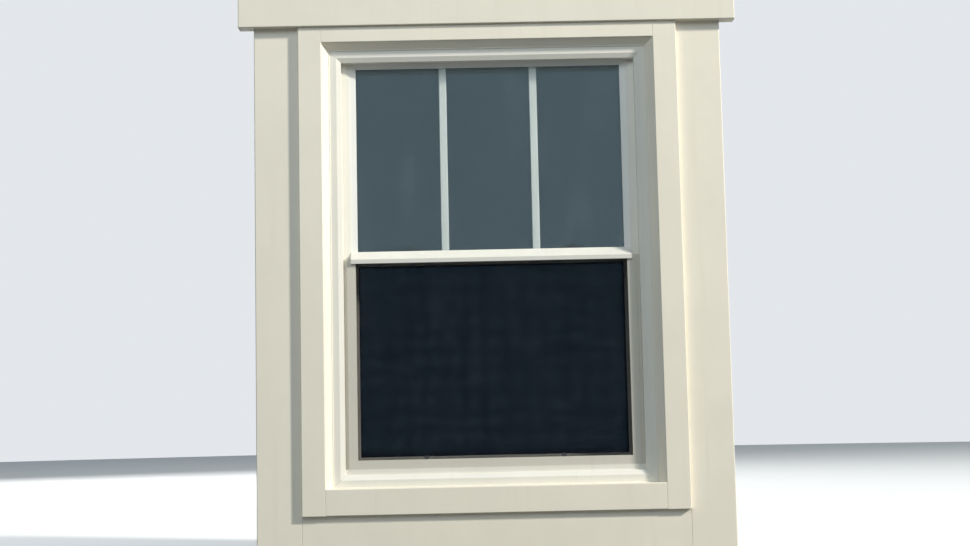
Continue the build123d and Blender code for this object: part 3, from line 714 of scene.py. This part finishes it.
@dataclass(frozen=True)
class Timber(Finish):
    """Sawn and planed softwood boards.

    Attributes:
        grain: The direction of the board.
        dark: The colour of its late wood.
        relief: How far the late wood stands up, in metres.
    """

    grain: Grain = Grain.ALONG_Z
    dark: Colour = (0.30, 0.155, 0.06)
    relief: float = 0.00025

    def fill(self, n: Skin) -> None:
        """Fills the material.

        Args:
            n: Its nodes.
        """
        place = n.place()
        long_z = self.grain is Grain.ALONG_Z
        coarse = n.stretched(place, (26.0, 26.0, 1.1) if long_z else (1.1, 26.0, 26.0))
        fine = n.stretched(place, (900.0, 900.0, 14.0) if long_z else (14.0, 900.0, 900.0))
        bend = n.noise(coarse, 1.0, detail=2.0)
        rings = n.math("FRACT", n.times(bend, 11.0))
        late = n.span(rings, 0.45, 0.95)
        fibre = n.noise(fine, 1.0, detail=2.0)
        body = n.mix(n.times(late, 0.6), self.colour, self.dark)
        colour = n.mix(n.span(fibre, 0.35, 0.7, 0.0, 0.25), body, self.dark)
        rough = n.span(late, 0.0, 1.0, self.roughness, self.roughness - 0.12)
        n.coat(colour, rough, n.plus(n.times(late, 0.4), fibre), self.relief)


@dataclass(frozen=True)
class ScreenCloth(Finish):
    """Coated glass-fibre yarns woven plain, open between them.

    Attributes:
        pitch: The distance from yarn to yarn.
        yarn: How thick a yarn is, as a share of the pitch.
    """

    pitch: float = 0.00141
    yarn: float = 0.46

    def fill(self, n: Skin) -> None:
        """Fills the material.

        Args:
            n: Its nodes.
        """
        x, _, z = n.parts(n.place())
        half = self.yarn / 2.0
        turns = [n.times(way, 1.0 / self.pitch) for way in (x, z)]
        swing = n.times(*(n.math("SINE", n.times(turn, math.pi)) for turn in turns))
        over = n.span(swing, -0.4, 0.4)
        covers, crowns = [], []
        for turn, rise in zip(turns, (n.plus(over, 0.5), n.minus(1.5, over))):
            away = n.math("ABSOLUTE", n.minus(n.math("FRACT", turn), 0.5))
            covers.append(n.span(away, half, half * 0.8))
            square = n.math("POWER", n.math("DIVIDE", away, half), 2.0)
            crown = n.math("SQRT", n.math("MAXIMUM", n.minus(1.0, square), 0.0))
            crowns.append(n.times(crown, rise))
        n.feed(n.shader.inputs["Alpha"], n.math("MAXIMUM", *covers))
        n.shader.inputs["Specular IOR Level"].default_value = 0.03
        dust = n.span(n.noise(n.place(), 12.0, detail=4.0), 0.45, 0.8, 0.0, 0.02)
        colour = n.mix(dust, self.colour, (0.2, 0.19, 0.17))
        rough = n.span(over, 0.0, 1.0, self.roughness, self.roughness + 0.1)
        n.coat(colour, rough, n.plus(*crowns), self.pitch * self.yarn * 0.2)


@dataclass(frozen=True)
class Rubber(Finish):
    """Extruded rubber or foamed vinyl, ribbed along its length.

    Attributes:
        bloom: How pale its dusty patches are.
    """

    bloom: float = 0.1

    def fill(self, n: Skin) -> None:
        """Fills the material.

        Args:
            n: Its nodes.
        """
        place = n.place()
        patches = n.span(n.noise(place, 24.0, detail=4.0), 0.4, 0.8, 0.0, self.bloom)
        colour = n.mix(patches, self.colour, (0.4, 0.39, 0.37))
        rough = n.span(patches, 0.0, self.bloom, self.roughness, self.roughness + 0.15)
        n.coat(colour, rough, n.noise(place, 900.0, detail=2.0), FINE_RELIEF)


UNMITRED = 4.0  # so far off that no mitre falls on the piece, in metres
CREAM_WRAP = CoilWrap("cream_coil_wrap", (0.865, 0.805, 0.670), 0.46)
# A darker copy of the cream wrap: painted shade that keeps the header from rendering brighter than
# the casing.
HEAD_WRAP_SHADED = CoilWrap("cream_header_wrap_painted_shade", (0.830, 0.780, 0.650), 0.44, soiling=0.24)
WHITE_VINYL = Vinyl("white_vinyl", (0.810, 0.780, 0.690), 0.34)
SASH_VINYL = Vinyl(
    "sash_vinyl", (0.810, 0.780, 0.690), 0.34, half_width=0.374, top=0.656, foot=0.096
)
# A darker copy of the white vinyl: painted shade that tones down the rail's brightly lit sloped
# nose.
RAIL_VINYL_SHADED = Vinyl(
    "rail_vinyl_painted_shade", (0.74, 0.72, 0.65), 0.34, half_width=UNMITRED, top=0.656, foot=0.624
)
BEAD_VINYL = Vinyl(
    "bead_vinyl", (0.845, 0.835, 0.785), 0.36, half_width=0.3585, top=1.149, foot=-UNMITRED
)
OUTER_PANE = Glazing("outer_pane", (0.78, 0.84, 0.83), 0.05)
# A darker copy of the outer pane's glass: painted shade for the half behind the screen.
SCREENED_PANE_SHADED = Glazing("screened_pane_painted_shade", (0.60, 0.66, 0.68), 0.05, index=1.30)
# Nearly black tint: painted shade that stands in for the dark room behind the glass.
INNER_PANE_ROOM_SHADE = Glazing("inner_pane_room_shade", (0.020, 0.038, 0.055), 0.05, lets=0.035)
GRILLE_PAINT = Enamel("grille_paint", (0.43, 0.43, 0.42), 0.4, rub=0.0)
SPACER = Metal("spacer_aluminium", (0.62, 0.63, 0.64), 0.35, stretch=(300.0, 300.0, 300.0))
LOCK_ENAMEL = Enamel("lock_enamel", (0.78, 0.78, 0.74), 0.3)
LATCH_PLASTIC = Enamel("latch_plastic", (0.80, 0.80, 0.76), 0.42, rub=0.05)
TUBE_PLASTIC = Enamel("tube_plastic", (0.74, 0.74, 0.71), 0.45, rub=0.05)
ZINC = Metal("zinc_plate", (0.62, 0.61, 0.58), 0.32, patchy=0.5)
SCREEN_PAINT = Enamel("screen_paint", (0.62, 0.585, 0.50), 0.42, rub=0.3)
TAB_PLASTIC = Enamel("tab_plastic", (0.030, 0.031, 0.034), 0.5, rub=0.0)
PILE = Rubber("brush_pile", (0.28, 0.28, 0.27), 0.9, bloom=0.3)
CLOTH = ScreenCloth("screen_cloth", (0.003, 0.004, 0.008), 0.7)
SPLINE = Rubber("spline_rubber", (0.022, 0.022, 0.023), 0.65)
SEALANT = Rubber("sealant", (0.78, 0.74, 0.62), 0.48, bloom=0.12)
GASKET = Rubber("glazing_gasket", (0.045, 0.046, 0.048), 0.6)
PINE_UP = Timber("pine_upright", (0.64, 0.46, 0.27), 0.68)
PINE_ALONG = Timber("pine_along", (0.62, 0.44, 0.26), 0.68, grain=Grain.ALONG_X)


# ---------------------------------------------------------------- modelling by hand


def rest() -> None:
    """Leaves edit mode and deselects everything."""
    if bpy.context.object and bpy.context.object.mode != "OBJECT":
        bpy.ops.object.mode_set(mode="OBJECT")
    bpy.ops.object.select_all(action="DESELECT")


def named(name: str) -> bpy.types.Object:
    """Names the object just added and its mesh, and puts its origin at the part's.

    Args:
        name: The piece's name.

    Returns:
        The object.
    """
    made = bpy.context.object
    made.name = made.data.name = name
    bpy.ops.object.transform_apply(location=True, rotation=True, scale=True)
    return made


def placed(name: str, data: bpy.types.ID) -> bpy.types.Object:
    """Adds an object to the scene.

    Args:
        name: Its name.
        data: Its mesh, light or camera.

    Returns:
        The object.
    """
    made = bpy.data.objects.new(name, data)
    bpy.context.scene.collection.objects.link(made)
    return made


def take(piece: bpy.types.Object) -> None:
    """Selects one piece alone and makes it the active one.

    Args:
        piece: The piece.
    """
    rest()
    piece.select_set(True)
    bpy.context.view_layer.objects.active = piece


def dress(piece: bpy.types.Object, finish: Finish, body: str) -> None:
    """Gives a new piece its finish and its place in the part.

    Args:
        piece: The piece.
        finish: Its finish.
        body: The body that carries it.
    """
    piece.data.materials.clear()
    piece.data.materials.append(finish.material())
    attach(piece, body)


def block(name: str, low: Triple, high: Triple) -> bpy.types.Object:
    """Adds a square block between two corners.

    Args:
        name: The piece's name.
        low: Its lowest corner.
        high: Its highest corner.

    Returns:
        The piece, at the origin.
    """
    rest()
    middle = [(a + b) / 2 for a, b in zip(low, high)]
    size = [b - a for a, b in zip(low, high)]
    bpy.ops.mesh.primitive_cube_add(size=1.0, location=middle, scale=size)
    return named(name)


def rod(name: str, radius: float, start: Triple, end: Triple, sides: int = 20) -> bpy.types.Object:
    """Adds a round rod between two points.

    Args:
        name: The piece's name.
        radius: Its radius.
        start: The middle of one end.
        end: The middle of the other.
        sides: Its number of sides.

    Returns:
        The piece, at the origin.
    """
    rest()
    way = Vector(end) - Vector(start)
    middle = (Vector(start) + Vector(end)) / 2
    turn = way.to_track_quat("Z", "Y").to_euler()
    bpy.ops.mesh.primitive_cylinder_add(
        vertices=sides, radius=radius, depth=way.length, location=middle, rotation=turn
    )
    return named(name)


def choose(piece: bpy.types.Object, kind: Pick, test: Test) -> None:
    """Opens a piece in edit mode with some of its edges or faces selected.

    Args:
        piece: The piece.
        kind: Whether edges or faces are selected.
        test: Takes an edge's middle and direction, or a face's middle and normal.
    """
    take(piece)
    bpy.ops.object.mode_set(mode="EDIT")
    bpy.ops.mesh.select_mode(type=kind.value)
    bpy.ops.mesh.select_all(action="DESELECT")
    shape = bmesh.from_edit_mesh(piece.data)
    for part in shape.edges if kind is Pick.EDGE else shape.faces:
        ends = [corner.co for corner in part.verts]
        way = part.normal if kind is Pick.FACE else (ends[1] - ends[0]).normalized()
        if test(sum(ends, Vector()) / len(ends), way):
            part.select_set(True)
    bmesh.update_edit_mesh(piece.data)


def smooth(piece: bpy.types.Object, degrees: float = 35.0) -> None:
    """Smooths a piece's shading, apart from edges sharper than an angle in degrees."""
    take(piece)
    bpy.ops.object.shade_smooth_by_angle(angle=math.radians(degrees))


def ease(piece: bpy.types.Object, width: float, test: Test) -> None:
    """Rounds some of a piece's edges over and smooths it.

    Args:
        piece: The piece.
        width: How wide the rounding is.
        test: Takes an edge's middle and direction.
    """
    choose(piece, Pick.EDGE, test)
    bpy.ops.mesh.bevel(offset=width, segments=BEVEL_SEGMENTS, affect="EDGES")
    smooth(piece)


def ripple(piece: bpy.types.Object, depth: float, size: float) -> None:
    """Gives a piece the slight unevenness of hand work.

    Args:
        piece: The piece.
        depth: How far its surface wanders.
        size: The length of a wave.
    """
    take(piece)
    cloud = bpy.data.textures.new("ripple", "CLOUDS")
    cloud.noise_scale = size
    change = piece.modifiers.new("ripple", "DISPLACE")
    change.texture, change.texture_coords = cloud, "LOCAL"
    change.strength, change.mid_level = depth, 0.5
    bpy.ops.object.modifier_apply(modifier="ripple")
    bpy.data.textures.remove(cloud)


def joined(name: str, pieces: list[bpy.types.Object]) -> bpy.types.Object:
    """Joins pieces into one.

    Args:
        name: The new piece's name.
        pieces: The pieces.

    Returns:
        The joined piece.
    """
    rest()
    for piece in pieces:
        piece.select_set(True)
    bpy.context.view_layer.objects.active = pieces[0]
    bpy.ops.object.join()
    return named(name)


def repeated(piece: bpy.types.Object, shifts: list[Triple]) -> bpy.types.Object:
    """Copies a piece to other places, each copy with its own mesh, and joins them all.

    Args:
        piece: The piece, modelled once.
        shifts: How far each copy lies from it.

    Returns:
        The joined piece.
    """
    row = [piece]
    for shift in shifts:
        mesh = piece.data.copy()
        mesh.transform(Matrix.Translation(shift))
        row.append(placed(piece.name, mesh))
    return joined(piece.name, row)


def pairs(*stems: str) -> list[str]:
    """Returns the names of the left and right pieces of every stem."""
    return [f"{stem}_{side}" for stem in stems for side in SIDES]


# ---------------------------------------------------------------- sub-assemblies


@dataclass
class Assembly:
    """A part of the window that is dressed together.

    Attributes:
    """

    frame: dict

    def build(self) -> None:
        """Makes its pieces and gives its nodes their finishes."""
        raise NotImplementedError

    def paint(self, finish: Finish, *names: str) -> None:
        """Gives nodes of the part a finish.

        Args:
            finish: The finish.
            names: The nodes.
        """
        for name in names:
            node = self.frame["nodes"][name]
            node.data.materials.clear()
            node.data.materials.append(finish.material())
        log.info("%s on %s", finish.name, ", ".join(names))


@dataclass
class Surround(Assembly):
    """The boxed-out boards: rough timber inside, painted sheet outside, sealed round the frame.

    Attributes:
        bead: The radius of a sealant bead.
        lap: How far the front sheet is turned round the box's sides.
        sheet: The sheet's thickness.
        hem: How wide its folded edge is.
        nail: The radius of a nail's head.
        nail_step: The distance from nail to nail, up a side.
        cuts: How often a run of sealant is divided, so that it can be uneven.
    """

    bead: float = 0.0026
    lap: float = 0.040
    sheet: float = 0.0005
    hem: float = 0.003
    nail: float = 0.0022
    nail_step: float = 0.30
    cuts: int = 70

    def build(self) -> None:
        """Dresses the boards."""
        along = ["casing_bottom", "trim_bottom", "trim_head", "stop_head"]
        along += ["return_bottom", "return_top"]
        self.paint(CREAM_WRAP, *pairs("casing", "trim", "stop", "return"), *along)
        self.paint(HEAD_WRAP_SHADED, "header_board")
        self.paint(PINE_UP, *pairs("buck"))
        self.paint(PINE_ALONG, "buck_sill", "buck_head")
        self.sealant()
        for name in SIDES:
            self.lapped_edge(name)
            self.nails(name)

    def sealant(self) -> None:
        """Runs a bead of sealant round the frame's face, inside the stops."""
        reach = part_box("stop_right")[0].x
        foot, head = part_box("trim_bottom")[1].z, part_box("stop_head")[0].z
        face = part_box("main_frame")[0].y
        left, right = (-reach, face), (reach, face)
        ends = [(*left, foot), (*left, head), (*right, head), (*right, foot)]
        runs = []
        for index, start in enumerate(ends):
            run = rod("sealant_run", self.bead, start, ends[(index + 1) % len(ends)])
            choose(run, Pick.EDGE, lambda middle, way: max(abs(way.x), abs(way.z)) > 0.99)
            bpy.ops.mesh.subdivide(number_cuts=self.cuts)
            bpy.ops.mesh.select_all(action="SELECT")
            bpy.ops.mesh.bisect(
                plane_co=(0, face, 0), plane_no=(0, 1, 0), use_fill=True, clear_outer=True
            )
            rest()
            ripple(run, depth=self.bead * 0.22, size=0.03)
            runs.append(run)
        piece = joined("frame_sealant", runs)
        smooth(piece, degrees=60.0)
        dress(piece, SEALANT, ROOT)
        log.info("sealant round the frame's face")

    def lapped_edge(self, name: str) -> None:
        """Turns the front sheet round a side of the box, with a folded hem along its edge.

        Args:
            name: The side's name.
        """
        side = SIDES[name]
        low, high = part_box(f"casing_{name}")
        wall = side * max(abs(low.x), abs(high.x))
        outer = wall + side * self.sheet
        edge = low.y + self.lap
        start = (min(wall, outer), low.y + self.hem, low.z)
        strip = block(f"lap_{name}", start, (max(wall, outer), edge, high.z))
        choose(strip, Pick.FACE, lambda middle, way: way.y > FACING)
        for width in (self.hem * 0.3, self.hem):
            bpy.ops.mesh.extrude_region_move(TRANSFORM_OT_translate={"value": (0, width, 0)})
        folded, proud = edge + self.hem * 0.5, abs(wall) + self.sheet * 0.5
        choose(strip, Pick.FACE, lambda middle, way: way.x * side > FACING and middle.y > folded)
        bpy.ops.transform.translate(value=(side * self.sheet, 0, 0))
        ease(
            strip,
            self.sheet * 0.45,
            lambda middle, way: abs(way.z) > FACING and abs(middle.x) > proud,
        )
        dress(strip, CREAM_WRAP, ROOT)
        log.info("lapped sheet on the %s side", name)

    def nails(self, name: str) -> None:
        """Drives painted nails up a side of the box, through the lap and near the wall.

        Args:
            name: The side's name.
        """
        side = SIDES[name]
        low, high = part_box(f"return_{name}")
        wall = side * max(abs(low.x), abs(high.x))
        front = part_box(f"casing_{name}")[0].y + self.lap * 0.6
        start = Vector((wall, front, low.z + self.nail_step / 4))
        top = start + Vector((side * self.nail * 0.5, 0, 0))
        head = rod(f"nails_{name}", self.nail, start, top, sides=24)
        face = abs(wall) + self.nail * 0.4
        ease(head, self.nail * 0.35, lambda middle, way: abs(middle.x) > face)
        rows = int((high.z - low.z) / self.nail_step) + 1
        lines = (0.0, high.y - front - self.lap / 4)
        spots = [(0.0, y, row * self.nail_step) for y in lines for row in range(rows)]
        piece = repeated(head, spots[1:])
        dress(piece, CREAM_WRAP, ROOT)
        log.info("%d nails on the %s side", len(spots), name)


@dataclass(frozen=True)
class Opening:
    """The part of a pane that shows in its frame, seen from the room.

    Attributes:
        half: Half its width.
        foot: Its lower edge.
        head: Its upper edge.
    """

    half: float
    foot: float
    head: float


@dataclass
class Gasket:
    """A mitred strip pressed in between a pane and its frame, on the room's side.

    Attributes:
        name: The piece's name.
        body: The body that carries it.
        sight: The opening that it lines.
        pane: Where the pane's face is.
        width: How far it shows on the pane.
        height: How far it stands off the pane.
    """

    name: str
    body: str
    sight: Opening
    pane: float
    width: float = 0.0022
    height: float = 0.0018

    def build(self) -> None:
        """Makes the strip from one plate, opened and bevelled towards the glass."""
        sight, top, rim = self.sight, self.pane + self.height, self.width / 2
        low = (-sight.half, self.pane, sight.foot)
        strip = block(self.name, low, (sight.half, top, sight.head))
        choose(strip, Pick.FACE, lambda middle, way: abs(way.y) > FACING)
        bpy.ops.mesh.inset(thickness=self.width)
        bpy.ops.mesh.bridge_edge_loops()

        def lip(middle: Vector, way: Vector) -> bool:
            """Tells the edges that show inside the strip, nearest to the room.

            Args:
                middle: An edge's middle.
                way: Its direction.

            Returns:
                Whether it is one of them.
            """
            beside = abs(middle.x) < sight.half - rim
            between = sight.foot + rim < middle.z < sight.head - rim
            near = middle.y > top - self.height * 0.1
            return beside and between and near and abs(way.y) < 0.1

        ease(strip, self.height * 0.6, lip)
        dress(strip, GASKET, self.body)
        log.info("gasket %s", self.name)


@dataclass
class Unit(Assembly):
    """The welded frame with its fixed rail."""

    def build(self) -> None:
        """Dresses the frame."""
        self.paint(WHITE_VINYL, "main_frame")
        self.paint(RAIL_VINYL_SHADED, "meeting_rail")


@dataclass
class UpperLite(Assembly):
    """The fixed glass unit with its bars and beads.

    Attributes:
        sight: Its opening.
    """

    sight: Opening = Opening(0.348, 0.656, 1.132)

    def build(self) -> None:
        """Dresses the lite."""
        self.paint(OUTER_PANE, "upper_glass_outer")
        self.paint(INNER_PANE_ROOM_SHADE, "upper_glass_inner")
        self.paint(SPACER, "upper_spacer")
        self.paint(GRILLE_PAINT, *pairs("grille_bar"))
        self.paint(BEAD_VINYL, *pairs("bead"), "bead_head")
        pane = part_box("upper_glass_inner")[1].y
        Gasket("upper_gasket", ROOT, self.sight, pane).build()


@dataclass
class LowerSash(Assembly):
    """The sliding sash with its glass unit, locks and latches.

    Attributes:
        sight: Its opening.
        lock_x: How far a lock's pivot is from the middle.
        rivet: The radius of the rivet through a lever.
    """

    sight: Opening = Opening(0.343, 0.132, 0.622)
    lock_x: float = 0.212
    rivet: float = 0.0036

    def build(self) -> None:
        """Dresses the sash."""
        self.paint(SASH_VINYL, "lower_sash", "sash_beads")
        self.paint(SCREENED_PANE_SHADED, "lower_glass_outer")
        self.paint(INNER_PANE_ROOM_SHADE, "lower_glass_inner")
        self.paint(SPACER, "lower_spacer")
        self.paint(LOCK_ENAMEL, *pairs("lock_base", "lock_lever"), "keepers")
        self.paint(LATCH_PLASTIC, *pairs("tilt_latch"))
        self.paint(ZINC, "lock_screws", "keeper_screws")
        self.paint(PILE, "sash_pile")
        self.paint(SPLINE, "sill_seal")
        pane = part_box("lower_glass_inner")[1].y
        Gasket("lower_gasket", SASH, self.sight, pane).build()
        for name in SIDES:
            self.lever_rivet(name)

    def lever_rivet(self, name: str) -> None:
        """Sets an eyelet rivet on a lever's boss, over its shaft.

        Args:
            name: The side's name.
        """
        low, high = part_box(f"lock_base_{name}")
        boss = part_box(f"lock_lever_{name}")[1].z
        foot = Vector((SIDES[name] * self.lock_x, (low.y + high.y) / 2, boss))
        end = foot + Vector((0, 0, self.rivet * 0.35))
        head = rod(f"lever_rivet_{name}", self.rivet, foot, end, sides=32)
        top = foot.z + self.rivet * 0.3
        choose(head, Pick.FACE, lambda middle, way: middle.z > top)
        bpy.ops.mesh.inset(thickness=self.rivet * 0.45)
        bpy.ops.transform.translate(value=(0, 0, -self.rivet * 0.22))
        rim = self.rivet * 0.9
        ease(
            head,
            self.rivet * 0.16,
            lambda middle, way: middle.z > top and (middle - foot).xy.length > rim,
        )
        dress(head, ZINC, f"{name}_lock")
        log.info("rivet on the %s lever", name)


@dataclass
class Balances(Assembly):
    """The spiral balances in the jambs."""

    def build(self) -> None:
        """Dresses the balances."""
        self.paint(TUBE_PLASTIC, *pairs("balance_tube"))
        self.paint(LATCH_PLASTIC, *pairs("balance_shoe"))
        self.paint(ZINC, *pairs("balance_rod"), "pivot_bars")


@dataclass
class Screen(Assembly):
    """The half screen: rolled bars, the cloth and what holds it.

    Attributes:
        bow: How far the cloth's middle lies behind its edges.
        lift: How far its edges lie behind the front of the plain cloth of the part.
        columns: How many faces the cloth has across.
        rows: How many it has up.
        bars: The bars that hold it.
    """

    bow: float = 0.0012
    lift: float = 0.0001
    columns: int = 42
    rows: int = 30
    bars: tuple[str, ...] = (*pairs("screen_bar"), "screen_bar_top", "screen_bar_bottom")

    def build(self) -> None:
        """Dresses the bars and makes the cloth."""
        self.paint(SCREEN_PAINT, *self.bars)
        self.paint(TAB_PLASTIC, "screen_tabs", "screen_keys")
        self.paint(SPLINE, "screen_spline")
        self.cloth()

    def cloth(self) -> None:
        """Makes the stretched cloth, a little slack between its bars."""
        low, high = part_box("screen_mesh")
        mesh = bpy.data.meshes.new("screen_sheet")
        shape = bmesh.new()
        width, height = high.x - low.x, high.z - low.z
        grid = []
        for j in range(self.rows + 1):
            for i in range(self.columns + 1):
                s, t = i / self.columns, j / self.rows
                slack = (4 * s * (1 - s)) ** 0.8 * (4 * t * (1 - t)) ** 0.6
                y = low.y + self.lift + self.bow * slack
                grid.append(shape.verts.new((low.x + width * s, y, low.z + height * t)))
        across = self.columns + 1
        for j in range(self.rows):
            for i in range(self.columns):
                a = j * across + i
                shape.faces.new((grid[a], grid[a + 1], grid[a + across + 1], grid[a + across]))
        shape.to_mesh(mesh)
        shape.free()
        piece = placed("screen_sheet", mesh)
        mesh.shade_smooth()
        dress(piece, CLOTH, ROOT)
        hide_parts("screen_mesh")
        log.info("screen cloth %.0f x %.0f mm", width * 1000, height * 1000)


@dataclass(frozen=True)
class Lamp:
    """A round soft lamp aimed at the window's middle.

    Attributes:
        name: Its name.
        toward: The direction from the window to it.
        power: Its power in watts.
        colour: Its colour.
        distance: How far off it is.
        size: Its diameter.
    """

    name: str
    toward: Triple
    power: float
    colour: Colour
    distance: float = 7.0
    size: float = 4.0

    def build(self) -> None:
        """Makes the lamp."""
        light = bpy.data.lights.new(self.name, "AREA")
        light.shape = "DISK"
        light.size = self.size
        light.energy = self.power
        light.color = self.colour
        lamp = placed(self.name, light)
        direction = Vector(self.toward).normalized()
        lamp.location = WINDOW_MIDDLE + direction * self.distance
        lamp.rotation_euler = direction.to_track_quat("Z", "Y").to_euler()


WINDOW_MIDDLE = Vector((0.0, -0.1, 0.6))
LAMPS = (
    Lamp("key", (0.79, -0.352, 0.505), 2550.0, (1.0, 0.965, 0.90), distance=14.0, size=1.2),
    Lamp("fill", (-0.14, -0.80, 0.58), 152.0, (0.86, 0.94, 1.0)),
    Lamp("back", (-0.42, 0.80, 0.43), 330.0, (1.0, 0.98, 0.95)),
)


@dataclass
class Studio:
    """The floor, the light and the camera.

    Attributes:
        floor_z: Where the floor lies.
        floor_radius: How far it reaches.
        floor_seen: The floor's colour to the camera, gloss and glass.
        floor_lit: The floor's colour to the light that bounces off it.
        sky_seen: The ground colour to the camera, gloss and glass.
        sky_lit: The colour of the even light.
        sky_strength: Its strength.
        place: The camera's place.
        yaw: How far it looks to the right of straight in, in degrees.
        pitch: How far up it looks, in degrees.
        roll: Its roll, in degrees.
        lens: Its focal length, in millimetres.
        sensor: The width of its sensor, in millimetres.
    """

    floor_z: float
    floor_radius: float = 14.0
    floor_seen: Colour = (0.80, 0.81, 0.82)
    floor_lit: Colour = (0.045, 0.050, 0.055)
    sky_seen: Colour = (0.77, 0.80, 0.83)
    sky_lit: Colour = (0.62, 0.85, 1.0)
    sky_strength: float = 0.20
    place: Triple = (-0.045, -3.950, 0.2185)
    yaw: float = 0.42
    pitch: float = 5.64
    roll: float = -1.21
    lens: float = 55.67
    sensor: float = 36.0

    def build(self) -> None:
        """Makes the floor, the lamps, the world and the camera."""
        self.floor()
        for lamp in LAMPS:
            lamp.build()
        self.world()
        self.camera()
        bpy.context.scene.view_settings.view_transform = "Standard"

    def floor(self) -> None:
        """Makes the pale floor."""
        rest()
        middle = (0.0, 0.0, self.floor_z)
        bpy.ops.mesh.primitive_circle_add(
            vertices=96, radius=self.floor_radius, fill_type="NGON", location=middle
        )
        floor = named("floor")
        made, n = blank("pale_floor")
        n.shader.inputs["Roughness"].default_value = 0.9
        colour = n.mix(self.seen(n), self.floor_lit, self.floor_seen)
        n.feed(n.shader.inputs["Base Color"], colour)
        floor.data.materials.append(made)
        floor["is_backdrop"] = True

    def seen(self, n: Nodes) -> Socket:
        """Tells the rays of the camera, gloss and glass from those that light the window.

        Args:
            n: The nodes of the floor or the world.

        Returns:
            1 for a ray that sees the ground colour, 0 for the rest.
        """
        path = n.add("LightPath")
        rays = n.math("MAXIMUM", path.outputs["Is Camera Ray"], path.outputs["Is Glossy Ray"])
        return n.math("MAXIMUM", rays, path.outputs["Is Transmission Ray"])

    def world(self) -> None:
        """Makes the even light, and the pale ground that the camera, gloss and glass see."""
        world = bpy.data.worlds.new("studio")
        bpy.context.scene.world = world
        world.use_nodes = True
        tree = world.node_tree
        n = Nodes(tree)
        base = next(x for x in tree.nodes if x.type == "BACKGROUND")
        base.inputs["Color"].default_value = (*self.sky_lit, 1.0)
        base.inputs["Strength"].default_value = self.sky_strength
        seen = n.add("Background")
        seen.inputs["Color"].default_value = (*self.sky_seen, 1.0)
        n.surface(self.seen(n), base.outputs[0], seen.outputs[0])

    def camera(self) -> None:
        """Makes the camera, at the photograph's viewing angle."""
        yaw, pitch, roll = (math.radians(x) for x in (self.yaw, self.pitch, self.roll))
        reach = math.cos(pitch)
        ahead = Vector((math.sin(yaw) * reach, math.cos(yaw) * reach, math.sin(pitch)))
        level = Vector((math.cos(yaw), -math.sin(yaw), 0.0))
        above = level.cross(ahead)
        right = math.cos(roll) * level + math.sin(roll) * above
        up = math.cos(roll) * above - math.sin(roll) * level
        turn = Matrix((right, up, -ahead)).transposed()
        data = bpy.data.cameras.new("camera")
        data.lens = self.lens
        data.sensor_width = self.sensor
        camera = placed("camera", data)
        camera.matrix_world = Matrix.Translation(Vector(self.place)) @ turn.to_4x4()
        bpy.context.scene.camera = camera


def main() -> None:
    """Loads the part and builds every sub-assembly in order."""
    logging.basicConfig(level=logging.INFO, format="%(message)s")
    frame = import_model()
    cad_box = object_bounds()
    assemblies = {
        "surround": Surround(frame),
        "frame": Unit(frame),
        "upper lite": UpperLite(frame),
        "lower sash": LowerSash(frame),
        "balances": Balances(frame),
        "screen": Screen(frame),
        "studio": Studio(cad_box[0].z),
    }
    for name, assembly in assemblies.items():
        assembly.build()
        log.info("built the %s", name)


if __name__ == "__main__":
    main()
